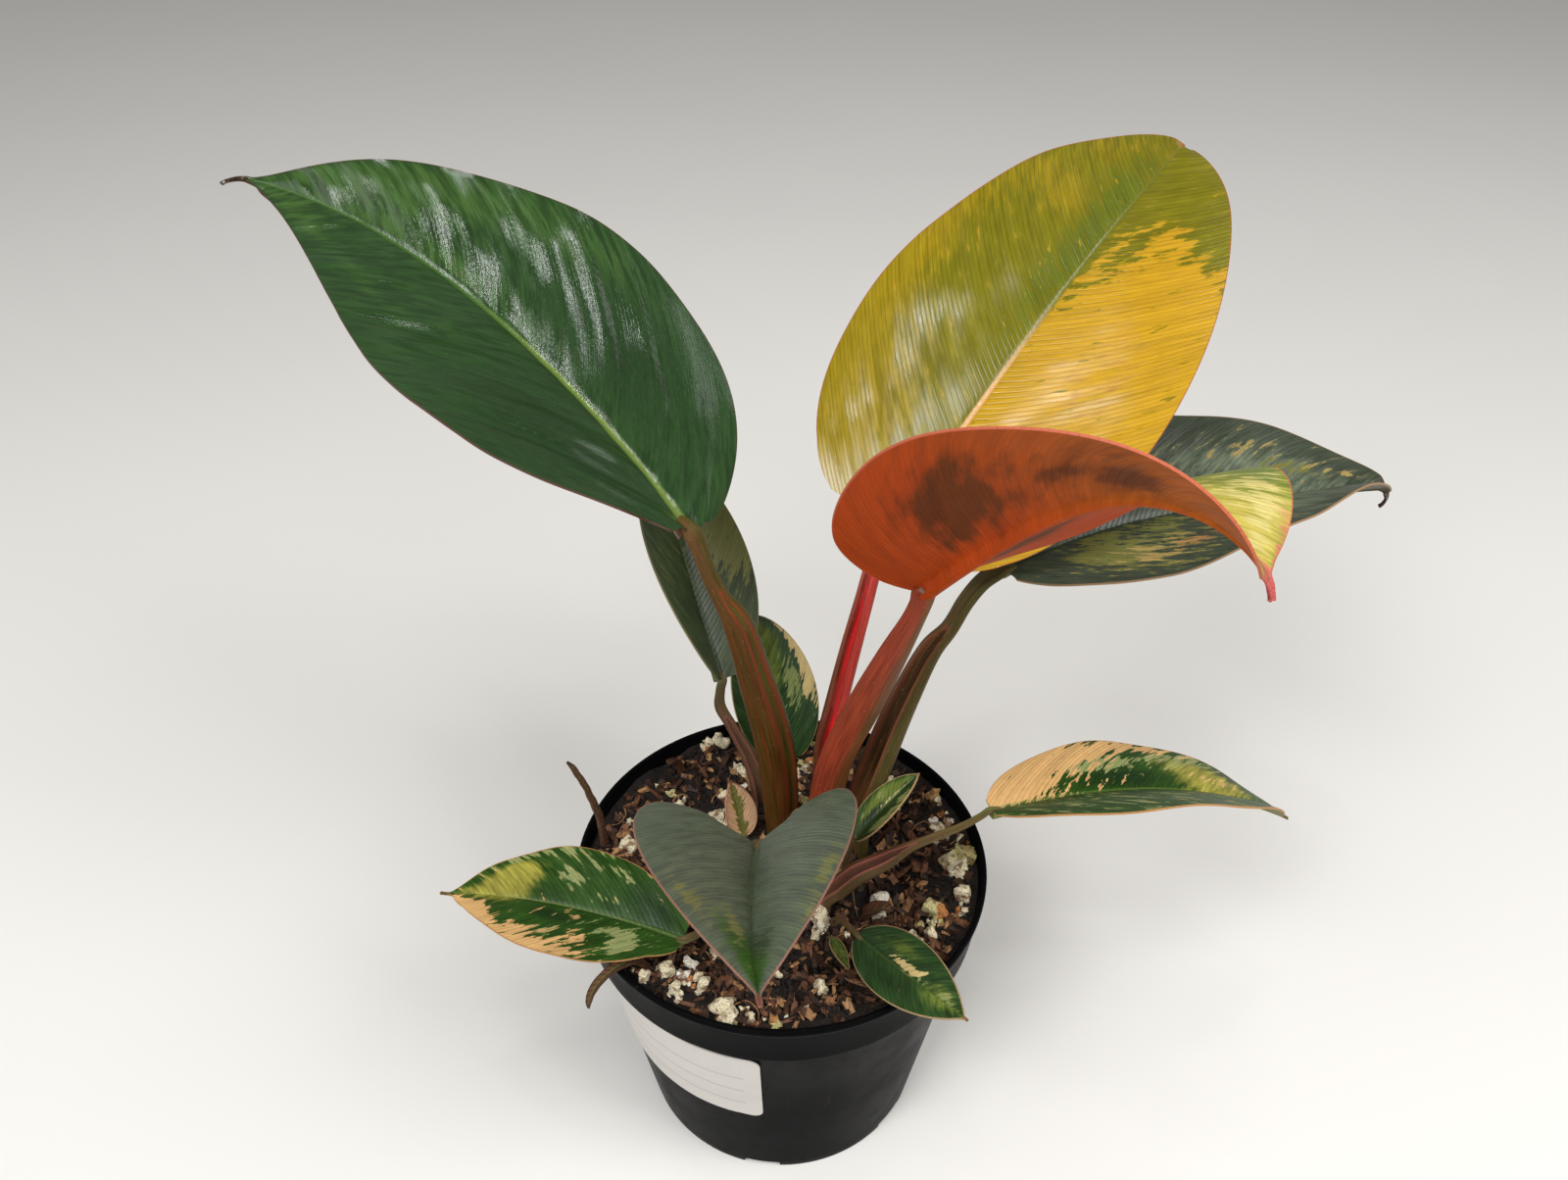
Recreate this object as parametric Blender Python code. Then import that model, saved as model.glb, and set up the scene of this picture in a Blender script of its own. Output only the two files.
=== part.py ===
"""A young philodendron with marbled leaves, growing in a round nursery pot.

Metres, +Z up. The origin is the middle of the pot's foot, +X runs to the right seen from the
label's side and -Y points to the viewer there. Angles are in degrees. A leaf's heading is the
way it points seen from above, anticlockwise from +X, and its rise is its slope above level.
"""

import math
import random
from dataclasses import dataclass

import bmesh
import bpy
from mathutils import Matrix, Vector, noise

# Running gap between pieces that touch on the real plant
SEAT_GAP = 0.0003
MERGE_DISTANCE = 0.000002

# Pot
POT_SIDES = 48
POT_HEIGHT = 0.084
POT_RIM_RADIUS = 0.054
POT_FOOT_RADIUS = 0.039
POT_WALL = 0.0014
POT_FLOOR = 0.0016
BAND_HEIGHT = 0.0143
BAND_FOOT_RADIUS = 0.0521
NECK_RADIUS = 0.0505
LIP_DROP = 0.0007
SLOT_COUNT = 6
SLOT_WIDTH = 0.010
SLOT_DEPTH = 0.004
SLOT_HEIGHT = 0.0022
SLOT_FIRST_ANGLE = -98.0

# Label stuck on the wall under the band
LABEL_RIGHT_ANGLE = -96.0
LABEL_SPAN = 66.0
LABEL_TOP = 0.0665
LABEL_HEIGHT = 0.032
LABEL_CORNER = 0.003
LABEL_THICKNESS = 0.0004
LABEL_COLUMNS = 12
LABEL_ROWS = 3
LABEL_CORNER_STEPS = (0.0, 0.12, 0.45)

# Soil and what is mixed into it
SOIL_TOP = 0.074
SOIL_EDGE_RISE = 0.006
SOIL_RISE_START = 0.027
SOIL_BUMP = 0.0011
SOIL_BUMP_SCALE = 140.0
SOIL_EDGE_CALM = 0.004
SOIL_RING_COUNT = 7
SOIL_SEED = 7
PERLITE_COUNT = 46
PERLITE_RADIUS = (0.0011, 0.0026)
PERLITE_ROOM = 0.0028
PERLITE_SQUASH = (0.6, 1.0)
BARK_COUNT = 30
BARK_LENGTH = (0.004, 0.009)
BARK_WIDTH_SHARE = (0.25, 0.5)
BARK_THICKNESS = (0.0012, 0.002)
BARK_TILT = 0.5
BARK_ROOM = 0.0047
GRAIN_REACH = 0.0502
GRAIN_SINK = 0.3
GRAIN_TRIES = 200
GRAIN_CROWDING = 0.8
GRAIN_TO_HOLE = 0.0012
ROOT_DEPTH = 0.012
HOLE_SIDES = 14
HOLE_CLEARANCE = 0.0004

# Crown, the short stem that carries the four tall leaves
CROWN_CENTRE = (0.0105, 0.016)
CROWN_RADIUS = 0.0146
CROWN_TOP = 0.0757
CROWN_BOTTOM = 0.058
CROWN_SIDES = 28

# Leaf blades
BLADE_THICKNESS = 0.0008
RIB_THICKNESS = 0.0022
RIB_WIDTH = 0.16
BASE_WIDTH_SHARE = 0.02
CALM_BASE = 0.05
MIDRIB_STEPS = 60

# Leaf stalks
SECTIONS_PER_POINT = 2
TANGENT_STEP = 0.01
STALK_END_GAP = 0.0005
STALK_SIDES = 12
SLIM_SIDES = 8
CHANNEL_RISE = 0.45


@dataclass
class Blade:
    """One leaf blade, held at its base by its stalk.

    A lift folds one half up by some degrees at the tip, growing with a power of u.
    """

    name: str
    base: tuple
    heading: float
    rise: float
    length: float
    half_width: float
    turn: float = 0.0
    droop: float = 0.0
    droop_power: float = 1.3
    roll: float = 0.0
    twist: float = 0.0
    fold: float = 20.0
    curl: float = -14.0
    lift_left: tuple = (0.0, 1.0)
    lift_right: tuple = (0.0, 1.0)
    sweep_base: float = 0.0
    sweep_tip: float = 30.0
    base_taper: float = 0.6
    tip_taper: float = 0.85
    wave: float = 0.0
    waves: float = 3.0
    rows: int = 10
    columns: int = 6
    thickness: float = BLADE_THICKNESS
    rib: float = RIB_THICKNESS
    material: str = "leaf_green"


BLADES = (
    Blade("blade_left", (-0.0207, 0.0117, 0.1796), 132, 29, 0.147, 0.039, turn=30, droop=25,
          droop_power=2.9, roll=18, twist=-60, fold=19, curl=-12, sweep_tip=0,
          base_taper=0.73, tip_taper=1.3, wave=0.0008, rows=17, columns=8),
    Blade("blade_back", (0.0254, 0.0184, 0.1753), 42, 38, 0.127, 0.040, turn=7, droop=19,
          droop_power=1.6, roll=24, twist=-11, fold=9, curl=-16, sweep_base=2, sweep_tip=33,
          base_taper=0.4, tip_taper=0.71, wave=0.0006, rows=17, columns=8,
          material="leaf_yellow"),
    Blade("blade_front", (0.032, -0.0014, 0.173), -72, 48, 0.107, 0.037, turn=27, droop=101,
          droop_power=5.0, roll=-3, twist=-41, fold=16, curl=-10, sweep_base=-10, sweep_tip=48,
          lift_left=(16, 1.6), lift_right=(-30, 8), base_taper=0.95, tip_taper=1.1, wave=0.0006,
          rows=17, columns=8,
          material="leaf_orange"),
    Blade("blade_right", (0.0527, 0.017, 0.1653), 37, -1, 0.105, 0.0309, turn=-45, droop=-9,
          droop_power=1.0, roll=25, twist=-46, fold=27, curl=-10, sweep_base=-3,
          base_taper=0.73, tip_taper=0.75, wave=0.0008, rows=16, columns=8),
    Blade("blade_heart", (-0.0057, -0.0199, 0.1099), -94, 24, 0.070, 0.0307, turn=11, droop=-1,
          roll=8, twist=-10, fold=42, curl=-10, sweep_base=-21, sweep_tip=21,
          base_taper=0.75, tip_taper=1.3, rows=12, columns=8),
    Blade("blade_low_left", (-0.0239, -0.0311, 0.0886), 159, 4, 0.063, 0.0165, turn=13, droop=13,
          droop_power=1.4, roll=-13, twist=10, curl=-14, sweep_base=18, sweep_tip=25,
          base_taper=0.66, tip_taper=1.07, wave=0.0004, rows=12),
    Blade("blade_low_right", (0.0513, -0.0113, 0.113), 17, -1, 0.085, 0.0198, turn=-12, droop=33,
          droop_power=1.8, roll=-14, twist=-10, fold=21, curl=-15, sweep_base=-5, sweep_tip=33,
          base_taper=0.76, tip_taper=0.91, wave=0.0004, rows=13),
    Blade("blade_small_front", (0.019, -0.0281, 0.0862), -53, 12, 0.037, 0.0088, turn=1, droop=-1,
          roll=24, twist=3, fold=19, curl=-15, sweep_base=4, sweep_tip=34,
          base_taper=0.64, tip_taper=0.95, rows=9, columns=4, rib=0.0014),
    Blade("blade_behind_left", (-0.016, 0.0324, 0.1173), 115, 38, 0.065, 0.0178, turn=-5,
          droop=-12, roll=26, twist=-29, fold=42, curl=-16, sweep_base=-4, sweep_tip=33,
          base_taper=0.61, tip_taper=0.8, rows=12),
    Blade("blade_behind", (0.0027, 0.0405, 0.080), 126, 66, 0.0450, 0.0132, droop=2,
          roll=-10, fold=15, curl=-20, base_taper=0.55, tip_taper=0.8, rows=10,
          rib=0.0014),
    Blade("blade_small_right", (0.0189, -0.0021, 0.0925), 30, 40, 0.0233, 0.0058, droop=8,
          roll=-12, fold=22, rows=7, columns=4, rib=0.0012),
    Blade("blade_bud", (-0.0102, 0.0135, 0.0765), 125, 68, 0.0165, 0.0051, fold=10, curl=25,
          sweep_tip=20, rows=7, columns=4, rib=0.0010, material="leaf_pink"),
    Blade("blade_seedling", (0.0128, -0.0217, 0.0775), -72, 16, 0.012, 0.0018, droop=10,
          fold=20, sweep_tip=15, rows=6, columns=2, rib=0.0009, thickness=0.0007),
)


@dataclass
class Stalk:
    """A leaf stalk through its centre line's points, with its half width at each."""

    name: str
    blade: str
    path: tuple
    half_widths: tuple
    depth_share: float = 0.72
    sides: int = SLIM_SIDES
    material: str = "stalk_olive"


CROWN_SEAT = CROWN_TOP + SEAT_GAP
ROOT_END = SOIL_TOP - ROOT_DEPTH

CROWN_STALKS = (
    Stalk("stalk_left", "blade_left",
          ((0.0008, 0.0175, CROWN_SEAT), (-0.0002, 0.0168, 0.094), (-0.0023, 0.0154, 0.1134),
           (-0.0062, 0.0143, 0.1325), (-0.0101, 0.0134, 0.1499), (-0.0137, 0.0129, 0.1583),
           (-0.0167, 0.0124, 0.1664), (-0.0187, 0.012, 0.1742)),
          (0.0045, 0.0056, 0.0057, 0.0050, 0.0041, 0.0026, 0.0022, 0.0023),
          sides=STALK_SIDES, material="stalk_olive"),
    Stalk("stalk_back", "blade_back",
          ((0.011, 0.0236, CROWN_SEAT), (0.0112, 0.0229, 0.090), (0.0118, 0.0221, 0.1024),
           (0.014, 0.0214, 0.1173), (0.017, 0.0204, 0.1359), (0.020, 0.0195, 0.1532),
           (0.0222, 0.0189, 0.1654)),
          (0.0034, 0.0036, 0.0036, 0.0034, 0.0031, 0.0027, 0.0025),
          sides=STALK_SIDES, material="stalk_red"),
    Stalk("stalk_front", "blade_front",
          ((0.0103, 0.0145, CROWN_SEAT), (0.0113, 0.0127, 0.087), (0.0139, 0.0089, 0.1102),
           (0.0199, 0.0054, 0.1316), (0.0260, 0.0024, 0.1509), (0.0301, 0.0004, 0.1634),
           (0.0316, -0.0004, 0.169)),
          (0.0046, 0.0048, 0.0050, 0.0052, 0.0043, 0.0032, 0.0030),
          sides=STALK_SIDES, material="stalk_red"),
    Stalk("stalk_right", "blade_right",
          ((0.0201, 0.0115, CROWN_SEAT), (0.0204, 0.0121, 0.087), (0.0251, 0.0133, 0.1059),
           (0.0302, 0.0144, 0.1235), (0.0362, 0.0155, 0.1401), (0.041, 0.0159, 0.1478),
           (0.0444, 0.0164, 0.1556), (0.0482, 0.0168, 0.1616)),
          (0.0044, 0.0048, 0.0050, 0.0044, 0.0034, 0.0025, 0.0024, 0.0024),
          sides=STALK_SIDES, material="stalk_olive"),
)

SOIL_STALKS = (
    Stalk("stalk_heart", "blade_heart",
          ((-0.003, 0.0, ROOT_END), (-0.003, 0.0, 0.0765), (-0.0028, -0.004, 0.088),
           (-0.0038, -0.011, 0.1005), (-0.0052, -0.0165, 0.1077)),
          (0.0019, 0.0019, 0.0018, 0.0016, 0.0015)),
    Stalk("stalk_low_left", "blade_low_left",
          ((-0.0158, -0.0185, ROOT_END), (-0.0158, -0.0185, 0.0762), (-0.0185, -0.0224, 0.0815),
           (-0.0208, -0.0275, 0.0860)),
          (0.0014, 0.0014, 0.0012, 0.0011)),
    Stalk("stalk_low_right", "blade_low_right",
          ((0.0105, -0.0092, ROOT_END), (0.0107, -0.0092, 0.0765), (0.015, -0.0095, 0.0828),
           (0.0195, -0.0099, 0.0885), (0.0262, -0.0101, 0.0933), (0.0333, -0.0105, 0.0995),
           (0.044, -0.0109, 0.1063), (0.0485, -0.0112, 0.1102)),
          (0.0032, 0.0032, 0.0035, 0.0034, 0.0028, 0.0015, 0.0011, 0.0010)),
    Stalk("stalk_small_front", "blade_small_front",
          ((0.0136, -0.0152, ROOT_END), (0.0136, -0.0152, 0.0762), (0.0152, -0.0190, 0.081),
           (0.0178, -0.0255, 0.085)),
          (0.0012, 0.0012, 0.0010, 0.0008)),
    Stalk("stalk_behind_left", "blade_behind_left",
          ((-0.006, 0.028, ROOT_END), (-0.006, 0.028, 0.0775), (-0.0088, 0.0295, 0.090),
           (-0.0137, 0.0307, 0.1015), (-0.0167, 0.0314, 0.1082), (-0.0166, 0.0318, 0.1135)),
          (0.0026, 0.0026, 0.0022, 0.0016, 0.0016, 0.0014),
          material="stalk_mauve"),
    Stalk("stalk_behind", "blade_behind",
          ((0.0037, 0.0395, ROOT_END), (0.0036, 0.0395, 0.0765)),
          (0.0013, 0.0012)),
    Stalk("stalk_small_right", "blade_small_right",
          ((0.0166, -0.0008, ROOT_END), (0.0166, -0.0008, 0.0765), (0.0172, -0.0016, 0.0850)),
          (0.0011, 0.0011, 0.0009)),
    Stalk("stalk_bud", "blade_bud",
          ((-0.0102, 0.0135, ROOT_END), (-0.0102, 0.0135, 0.0735)),
          (0.0011, 0.0010), material="stalk_mauve"),
    Stalk("stalk_seedling", "blade_seedling",
          ((0.0120, -0.0207, ROOT_END), (0.0120, -0.0207, 0.0762)),
          (0.0006, 0.0006)),
)


@dataclass
class DryScale:
    """A dry leaf sheath: a curled strip whose foot stands in the soil."""

    strip: Blade
    hole_radius: float


DRY_SCALES = (
    DryScale(Blade("dry_scale_left", (-0.0476, 0.0068, 0.0755), 162, 90, 0.034, 0.0011, droop=32,
                   droop_power=1.5, fold=30, curl=30, sweep_tip=0, base_taper=0.25,
                   tip_taper=0.3, rows=9, columns=2, rib=0.0009, material="dry_brown"), 0.0022),
    DryScale(Blade("dry_scale_back", (-0.029, 0.037, 0.0757), 205, 86, 0.013, 0.0016, turn=60,
                   droop=60, fold=30, curl=30, sweep_tip=0, base_taper=0.25,
                   tip_taper=0.3, rows=7, columns=2, rib=0.0009, material="dry_brown"), 0.0026),
    DryScale(Blade("dry_scale_front", (-0.0323, -0.0306, 0.0735), -137, 85, 0.030, 0.0014,
                   droop=165, droop_power=1.4, fold=25, curl=20, sweep_tip=0,
                   base_taper=0.25, tip_taper=0.3, rows=10, columns=2, rib=0.0009,
                   material="dry_brown"), 0.0026),
    DryScale(Blade("dry_scale_centre", (0.0208, -0.0122, 0.070), -25, 86, 0.0145, 0.0026,
                   droop=75, fold=25, curl=20, sweep_tip=0, base_taper=0.3,
                   tip_taper=0.35, rows=7, columns=4, rib=0.0009, material="dry_brown"), 0.0036),
)

# Colour, roughness of each material
FINISHES = {
    "leaf_green": ((0.045, 0.110, 0.050, 1.0), 0.30),
    "leaf_yellow": ((0.400, 0.330, 0.040, 1.0), 0.30),
    "leaf_orange": ((0.420, 0.110, 0.030, 1.0), 0.38),
    "leaf_pink": ((0.480, 0.250, 0.200, 1.0), 0.40),
    "stalk_olive": ((0.120, 0.070, 0.030, 1.0), 0.40),
    "stalk_red": ((0.300, 0.050, 0.035, 1.0), 0.36),
    "stalk_mauve": ((0.160, 0.090, 0.070, 1.0), 0.42),
    "crown_brown": ((0.110, 0.060, 0.030, 1.0), 0.60),
    "dry_brown": ((0.130, 0.060, 0.025, 1.0), 0.75),
    "soil_dark": ((0.030, 0.022, 0.017, 1.0), 0.95),
    "pot_black": ((0.012, 0.012, 0.013, 1.0), 0.42),
    "label_white": ((0.700, 0.690, 0.670, 1.0), 0.50),
}


def clear_scene():
    """Remove whatever the file opened with."""
    for thing in list(bpy.data.objects):
        bpy.data.objects.remove(thing, do_unlink=True)


def finish_material(name):
    """Make a material once and hand it out again by its name."""
    material = bpy.data.materials.get(name)
    if material is None:
        colour, roughness = FINISHES[name]
        material = bpy.data.materials.new(name)
        material.use_nodes = True
        shader = material.node_tree.nodes["Principled BSDF"]
        shader.inputs["Base Color"].default_value = colour
        shader.inputs["Roughness"].default_value = roughness
        shader.inputs["Metallic"].default_value = 0.0
        material.diffuse_color = colour
    return material


def add_object(name, shape, material, smooth_angle=40.0):
    """Turn a bmesh into a named, shaded object of the scene."""
    mesh = bpy.data.meshes.new(name)
    shape.to_mesh(mesh)
    shape.free()
    thing = bpy.data.objects.new(name, mesh)
    bpy.context.collection.objects.link(thing)
    mesh.materials.append(finish_material(material))
    mesh.shade_smooth()
    mesh.set_sharp_from_angle(angle=math.radians(smooth_angle))
    return thing


def apply_modifiers(thing):
    """Bake an object's modifiers into its mesh."""
    graph = bpy.context.evaluated_depsgraph_get()
    baked = bpy.data.meshes.new_from_object(thing.evaluated_get(graph))
    thing.modifiers.clear()
    thing.data = baked


def keep_largest_body(thing):
    """Drop the loose scraps that cutting leaves beside an object's main body."""
    shape = bmesh.new()
    shape.from_mesh(thing.data)
    bodies = []
    unseen = set(shape.verts)
    while unseen:
        body = set()
        edge = [unseen.pop()]
        while edge:
            corner = edge.pop()
            body.add(corner)
            for link in corner.link_edges:
                other = link.other_vert(corner)
                if other in unseen:
                    unseen.discard(other)
                    edge.append(other)
        bodies.append(body)
    main_body = max(bodies, key=len)
    scraps = [corner for body in bodies if body is not main_body for corner in body]
    bmesh.ops.delete(shape, geom=scraps, context="VERTS")
    shape.to_mesh(thing.data)
    shape.free()


def turned_solid(profile, sides):
    """Spin a profile of (radius, height) points that starts and ends on the axis."""
    shape = bmesh.new()
    corners = [shape.verts.new((radius, 0.0, height)) for radius, height in profile]
    edges = [shape.edges.new(pair) for pair in zip(corners, corners[1:])]
    bmesh.ops.spin(shape, geom=corners + edges, cent=(0, 0, 0), axis=(0, 0, 1),
                   angle=math.tau, steps=sides, use_merge=True)
    bmesh.ops.remove_doubles(shape, verts=shape.verts, dist=MERGE_DISTANCE)
    bmesh.ops.recalc_face_normals(shape, faces=shape.faces)
    return shape


def wall_radius(height):
    """Outer radius of the pot's wall below the band."""
    neck = POT_HEIGHT - BAND_HEIGHT
    return POT_FOOT_RADIUS + (NECK_RADIUS - POT_FOOT_RADIUS) * height / neck


def make_pot():
    """The thin tapered pot with its rim band and the drain slots round its foot."""
    neck = POT_HEIGHT - BAND_HEIGHT
    lip = POT_HEIGHT - LIP_DROP
    inner_neck = neck - POT_WALL / 2
    profile = [
        (0.0, 0.0),
        (POT_FOOT_RADIUS, 0.0),
        (NECK_RADIUS, neck),
        (BAND_FOOT_RADIUS, neck),
        (POT_RIM_RADIUS, lip),
        (POT_RIM_RADIUS - LIP_DROP / 2, POT_HEIGHT),
        (POT_RIM_RADIUS - POT_WALL, POT_HEIGHT),
        (BAND_FOOT_RADIUS - POT_WALL, neck + POT_WALL),
        (NECK_RADIUS - POT_WALL, inner_neck),
        (wall_radius(POT_FLOOR) - POT_WALL, POT_FLOOR),
        (0.0, POT_FLOOR),
    ]
    pot = add_object("pot", turned_solid(profile, POT_SIDES), "pot_black")
    slots = bmesh.new()
    for index in range(SLOT_COUNT):
        angle = math.radians(SLOT_FIRST_ANGLE + index * 360.0 / SLOT_COUNT)
        place = (Matrix.Rotation(angle, 4, "Z")
                 @ Matrix.Translation((POT_FOOT_RADIUS, 0.0, 0.0))
                 @ Matrix.Diagonal((2 * SLOT_DEPTH, SLOT_WIDTH, 2 * SLOT_HEIGHT, 1.0)))
        bmesh.ops.create_cube(slots, size=1.0, matrix=place)
    cutter = add_object("pot_slots", slots, "pot_black")
    cut = pot.modifiers.new("drain_slots", "BOOLEAN")
    cut.operation = "DIFFERENCE"
    cut.solver = "EXACT"
    cut.object = cutter
    apply_modifiers(pot)
    bpy.data.objects.remove(cutter, do_unlink=True)
    return pot


def corner_inset(height_share):
    """How far the label's side edge draws in near its rounded corners, in metres."""
    from_edge = min(height_share, 1.0 - height_share) * LABEL_HEIGHT
    if from_edge >= LABEL_CORNER:
        return 0.0
    rise = LABEL_CORNER - from_edge
    return LABEL_CORNER - math.sqrt(max(LABEL_CORNER ** 2 - rise ** 2, 0.0))


def label_heights():
    """Shares of the label's height, closer together in the rounded corners."""
    corner = LABEL_CORNER / LABEL_HEIGHT
    upper = [corner * step for step in LABEL_CORNER_STEPS]
    middle = [corner + (1 - 2 * corner) * step / LABEL_ROWS for step in range(LABEL_ROWS + 1)]
    lower = [1 - share for share in reversed(upper)]
    return upper + middle + lower


def make_label():
    """A plain white sticker with rounded corners, wrapped on the wall."""
    shape = bmesh.new()
    rows = []
    for share in label_heights():
        height = LABEL_TOP - LABEL_HEIGHT * share
        radius = wall_radius(height) + SEAT_GAP
        inset = math.degrees(corner_inset(share) / radius)
        right = LABEL_RIGHT_ANGLE - inset
        span = LABEL_SPAN - 2 * inset
        row = []
        for column in range(LABEL_COLUMNS + 1):
            angle = math.radians(right - span * column / LABEL_COLUMNS)
            row.append(shape.verts.new((radius * math.cos(angle), radius * math.sin(angle),
                                        height)))
        rows.append(row)
    for upper, lower in zip(rows, rows[1:]):
        for column in range(LABEL_COLUMNS):
            shape.faces.new((upper[column], upper[column + 1],
                             lower[column + 1], lower[column]))
    bmesh.ops.triangulate(shape, faces=shape.faces)
    label = add_object("label", shape, "label_white")
    sheet = label.modifiers.new("thickness", "SOLIDIFY")
    sheet.thickness = LABEL_THICKNESS
    sheet.offset = 1.0
    return label


def direction(blade, u):
    """Unit vector along the midrib at the share u of its length."""
    heading = math.radians(blade.heading + blade.turn * u)
    rise = math.radians(blade.rise - blade.droop * u ** blade.droop_power)
    return Vector((math.cos(rise) * math.cos(heading), math.cos(rise) * math.sin(heading),
                   math.sin(rise)))


def across_frame(blade, u):
    """The unit vectors to the blade's left and out of its upper face at u."""
    heading = math.radians(blade.heading + blade.turn * u)
    along = direction(blade, u)
    left = Vector((-math.sin(heading), math.cos(heading), 0.0))
    upper = along.cross(left)
    roll = math.radians(blade.roll + blade.twist * u)
    return (left * math.cos(roll) + upper * math.sin(roll),
            upper * math.cos(roll) - left * math.sin(roll))


def midrib_point(blade, u):
    """Point of the midrib at u, by small steps along its direction."""
    place = Vector(blade.base)
    step = u / MIDRIB_STEPS
    for index in range(MIDRIB_STEPS):
        place += direction(blade, (index + 0.5) * step) * (blade.length * step)
    return place


def half_width(blade, u):
    """Distance from the midrib to the margin at u, measured over the blade."""
    widest = blade.base_taper / (blade.base_taper + blade.tip_taper)
    peak = widest ** blade.base_taper * (1 - widest) ** blade.tip_taper
    share = BASE_WIDTH_SHARE + (1 - BASE_WIDTH_SHARE) * u
    return blade.half_width * share ** blade.base_taper * (1 - share) ** blade.tip_taper / peak


def blade_point(blade, u, v):
    """Point of the upper face at u along the midrib and v across, from -1 to 1."""
    left, upper = across_frame(blade, u)
    reach = abs(v)
    side = math.copysign(1.0, v)
    tip_lift, lift_power = blade.lift_left if v > 0 else blade.lift_right
    fold = math.radians(blade.fold + tip_lift * u ** lift_power)
    curl = math.radians(blade.curl)
    out = (math.sin(fold + curl * reach) - math.sin(fold)) / curl
    lift = (math.cos(fold) - math.cos(fold + curl * reach)) / curl
    sweep = blade.sweep_base + (blade.sweep_tip - blade.sweep_base) * u
    sweep = math.radians(sweep * min(1.0, u / CALM_BASE))
    ripple = blade.wave * reach ** 2 * math.sin(math.tau * blade.waves * u + side)
    width = half_width(blade, u)
    return (midrib_point(blade, u)
            + (left * side * out + upper * lift) * (width * math.cos(sweep))
            + direction(blade, u) * (width * math.sin(sweep) * reach)
            + upper * ripple)


def make_blade(blade):
    """A thin closed leaf blade with a thicker midrib underneath."""
    shape = bmesh.new()
    ribs = shape.verts.layers.deform.verify()
    rows = []
    for row in range(blade.rows):
        u = row / blade.rows
        line = []
        for column in range(blade.columns + 1):
            v = 2 * column / blade.columns - 1
            corner = shape.verts.new(blade_point(blade, u, v))
            corner[ribs][0] = max(0.0, 1 - abs(v) / RIB_WIDTH) * (1 - u)
            line.append(corner)
        rows.append(line)
    tip = shape.verts.new(midrib_point(blade, 1.0))
    for near, far in zip(rows, rows[1:]):
        for column in range(blade.columns):
            shape.faces.new((near[column + 1], near[column], far[column], far[column + 1]))
    for column in range(blade.columns):
        shape.faces.new((rows[-1][column + 1], rows[-1][column], tip))
    bmesh.ops.triangulate(shape, faces=[face for face in shape.faces if len(face.verts) > 3])
    thing = add_object(blade.name, shape, blade.material)
    thing.vertex_groups.new(name="rib")
    flesh = thing.modifiers.new("flesh", "SOLIDIFY")
    flesh.thickness = blade.rib
    flesh.offset = -1.0
    flesh.vertex_group = "rib"
    flesh.thickness_vertex_group = blade.thickness / blade.rib
    return thing


def spline_point(points, share):
    """Point at a share of a smooth curve that runs through the given points."""
    position = share * (len(points) - 1)
    index = min(int(position), len(points) - 2)
    t = position - index
    start, end = points[index], points[index + 1]
    before = points[index - 1] if index > 0 else start * 2 - end
    after = points[index + 2] if index + 2 < len(points) else end * 2 - start
    return (start * (2 * t ** 3 - 3 * t ** 2 + 1) + end * (3 * t ** 2 - 2 * t ** 3)
            + (end - before) * ((t ** 3 - 2 * t ** 2 + t) / 2)
            + (after - start) * ((t ** 3 - t ** 2) / 2))


def stalk_ring(shape, centre, along, left, half, depth_share, sides):
    """One cross-section: round below, with a shallow channel along the top."""
    along = along.normalized()
    left = (left - along * left.dot(along)).normalized()
    upper = along.cross(left)
    ring = []
    for index in range(sides):
        angle = math.tau * index / sides
        height = math.sin(angle) * depth_share
        if height > 0:
            height *= CHANNEL_RISE
        ring.append(shape.verts.new(centre + (left * math.cos(angle) + upper * height) * half))
    return ring


def make_stalk(stalk, blade):
    """A leaf stalk from its foot to just short of its blade's base."""
    along_blade = direction(blade, 0.0)
    heading = math.radians(blade.heading)
    left = Vector((-math.sin(heading), math.cos(heading), 0.0))
    points = [Vector(point) for point in stalk.path]
    points.append(Vector(blade.base) - along_blade * STALK_END_GAP)
    widths = [Vector((width, 0.0, 0.0)) for width in stalk.half_widths]
    widths.append(widths[-1])
    sections = SECTIONS_PER_POINT * len(points)
    shape = bmesh.new()
    rings = []
    for index in range(sections + 1):
        share = index / sections
        centre = spline_point(points, share)
        ahead = spline_point(points, min(share + TANGENT_STEP, 1.0))
        behind = spline_point(points, max(share - TANGENT_STEP, 0.0))
        along = ahead - behind
        if index == 0:
            along = Vector((0.0, 0.0, 1.0))
        if index == sections:
            along = along_blade
        half = spline_point(widths, share).x
        rings.append(stalk_ring(shape, centre, along, left, half, stalk.depth_share,
                                stalk.sides))
    for near, far in zip(rings, rings[1:]):
        for index in range(stalk.sides):
            after = (index + 1) % stalk.sides
            shape.faces.new((near[index], near[after], far[after], far[index]))
    shape.faces.new(list(reversed(rings[0])))
    shape.faces.new(rings[-1])
    bmesh.ops.recalc_face_normals(shape, faces=shape.faces)
    bmesh.ops.triangulate(shape, faces=[face for face in shape.faces if len(face.verts) > 3])
    return add_object(stalk.name, shape, stalk.material)


def make_crown():
    """The stubby stem, sunk in the soil, that the four tall leaves grow from."""
    shape = bmesh.new()
    middle = (CROWN_TOP + CROWN_BOTTOM) / 2
    bmesh.ops.create_cone(shape, cap_ends=True, cap_tris=False, segments=CROWN_SIDES,
                          radius1=CROWN_RADIUS, radius2=CROWN_RADIUS,
                          depth=CROWN_TOP - CROWN_BOTTOM,
                          matrix=Matrix.Translation((*CROWN_CENTRE, middle)))
    return add_object("crown", shape, "crown_brown")


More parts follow.
